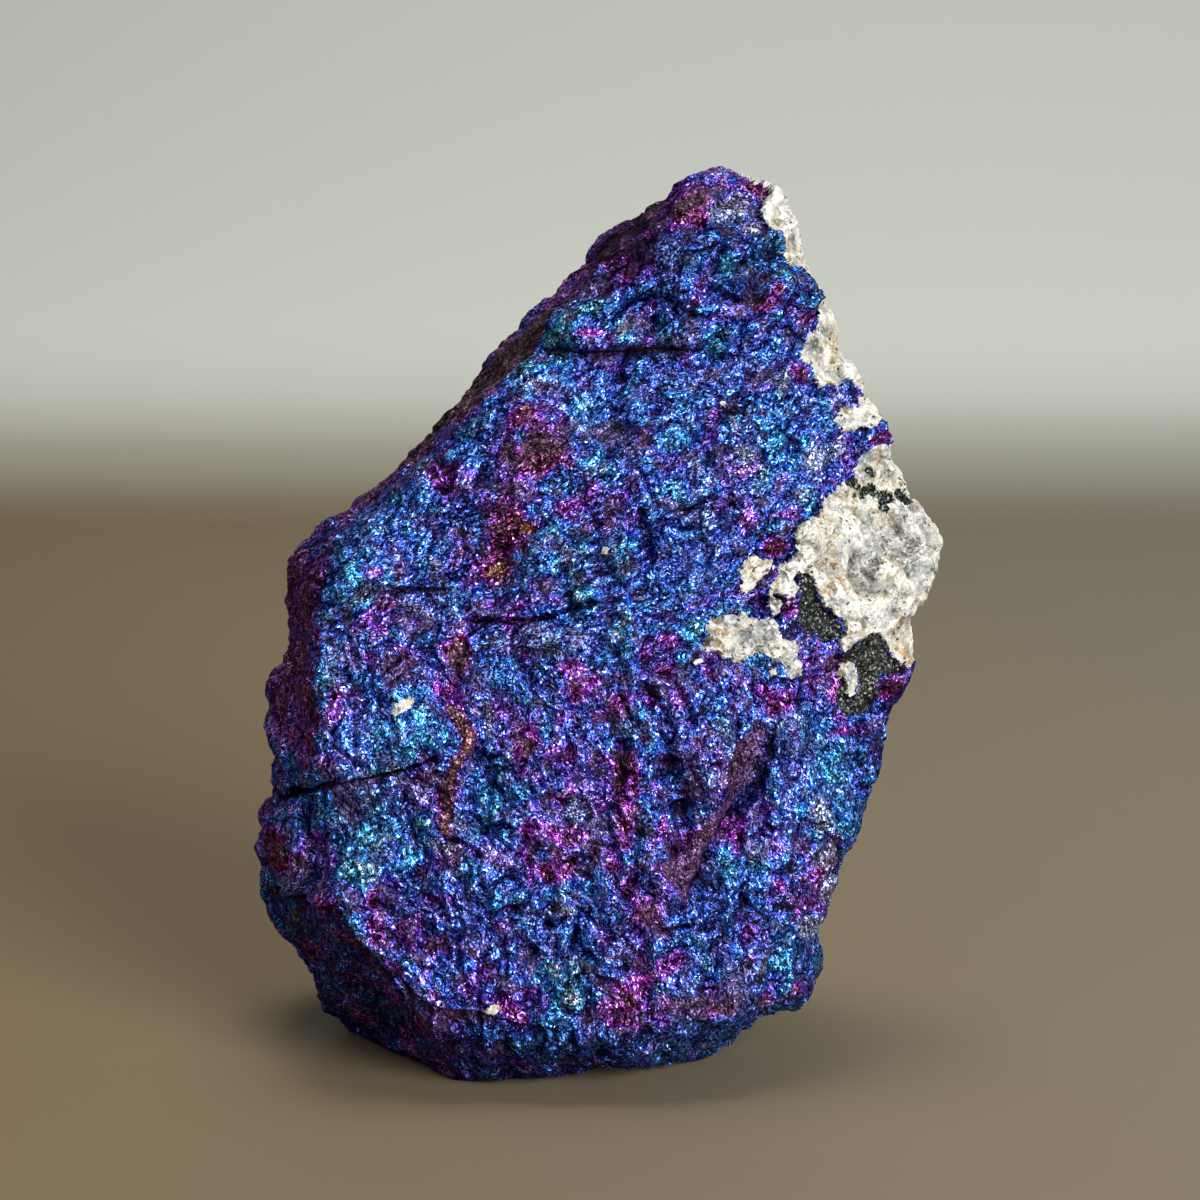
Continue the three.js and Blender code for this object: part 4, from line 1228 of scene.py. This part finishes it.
# painted shade: hollows of the rock are painted darker
shade = add(tree, "MapRange", {
    "Value": hollow_here, "From Min": 0.4, "From Max": 0.95, "To Min": 1.05, "To Max": 0.3})
gap = add(tree, "MapRange", {"Value": sugar_edge, "From Max": 0.1, "To Min": 0.6})
shade = add(tree, "Math", {0: shade, 1: gap}, operation="MULTIPLY")
tint = add(tree, "VectorMath", {0: tint, "Scale": shade}, operation="SCALE")
tilted = add(tree, "NewGeometry").outputs["Normal"]
for pattern, amount in ((crystal, CRYSTAL_TILT), (sugar, SUGAR_TILT)):
    lean = add(tree, "VectorMath", {0: pattern.outputs["Color"], 1: HALF}, operation="SUBTRACT")
    tilted = add(tree, "VectorMath", {0: lean, 1: (amount, amount, amount), 2: tilted},
                 operation="MULTIPLY_ADD")
tilted = add(tree, "VectorMath", {0: tilted}, operation="NORMALIZE")
shader = add(tree, "BsdfPrincipled", {"Base Color": tint, "Roughness": 0.45, "Normal": tilted})
add(tree, "OutputMaterial", {"Surface": shader})
print(f"{host.name} has {len(tree.nodes)} nodes")

# %% [markdown]
# ## Black-green mineral
#
# This is a dark mica or chlorite in flakes of about 0.4 mm. It is nearly black, and single flakes
# catch the lamp, so most flakes are dark and a few are glossy. A few flakes are also painted pale, as
# painted glints.

# %% Dark mineral
DARK_FLAKE = 0.25

dark, tree = new_material("black_green_mica")
place = add(tree, "TexCoord").outputs["Object"]
mm_place = add(tree, "VectorMath", {"Vector": place, "Scale": 1 / MM}, operation="SCALE")
flakes = add(tree, "TexVoronoi", {"Vector": mm_place, "Scale": 1 / DARK_FLAKE})
split = add(tree, "SeparateColor", {"Color": flakes.outputs["Color"]})
# painted glints: the top few flakes are painted pale grey
tint = add(tree, "ValToRGB", {"Fac": split.outputs[0]},
           [(0.0, "#080a09"), (0.7, "#161b17"), (0.92, "#343a34"), (1.0, "#8c908a")])
lean = add(tree, "VectorMath", {0: flakes.outputs["Color"], 1: HALF}, operation="SUBTRACT")
tilted = add(tree, "NewGeometry").outputs["Normal"]
tilted = add(tree, "VectorMath", {0: lean, 1: tilted}, operation="ADD")
tilted = add(tree, "VectorMath", {0: tilted}, operation="NORMALIZE")
shader = add(tree, "BsdfPrincipled", {"Base Color": tint, "Roughness": 0.3, "Normal": tilted})
add(tree, "OutputMaterial", {"Surface": shader})
print(f"{dark.name} has {len(tree.nodes)} nodes")

# %% [markdown]
# ## Give each triangle its material
#
# The numbers for rock and dark mineral came through the decimating with the mesh, so each
# triangle takes the mineral that most of its corners belong to. Flat shading keeps the breaks
# sharp.


# %% Materials on the mesh
def read_back(name):
    """Reads a number that was kept with each corner."""
    values = np.empty(len(stone.data.vertices), np.float32)
    stone.data.attributes[name].data.foreach_get("value", values)
    return values


stone.data.materials.clear()
for material in (ore, host, dark):
    stone.data.materials.append(material)
triangles = np.empty(3 * len(stone.data.polygons), np.int32)
stone.data.polygons.foreach_get("vertices", triangles)
triangles = triangles.reshape(-1, 3)
is_rock = read_back("rock")[triangles].mean(1) > 0.5
is_black = read_back("black")[triangles].mean(1) > 0.5
slots = np.where(is_black, 2, np.where(is_rock, 1, 0)).astype(np.int32)
stone.data.polygons.foreach_set("material_index", slots)
stone.data.shade_flat()
print(f"{is_rock.sum()} triangles of host rock, {is_black.sum()} of dark mineral")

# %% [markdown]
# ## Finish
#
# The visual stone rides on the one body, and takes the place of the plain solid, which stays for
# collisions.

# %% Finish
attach(stone, "root")
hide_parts("ore_lump")
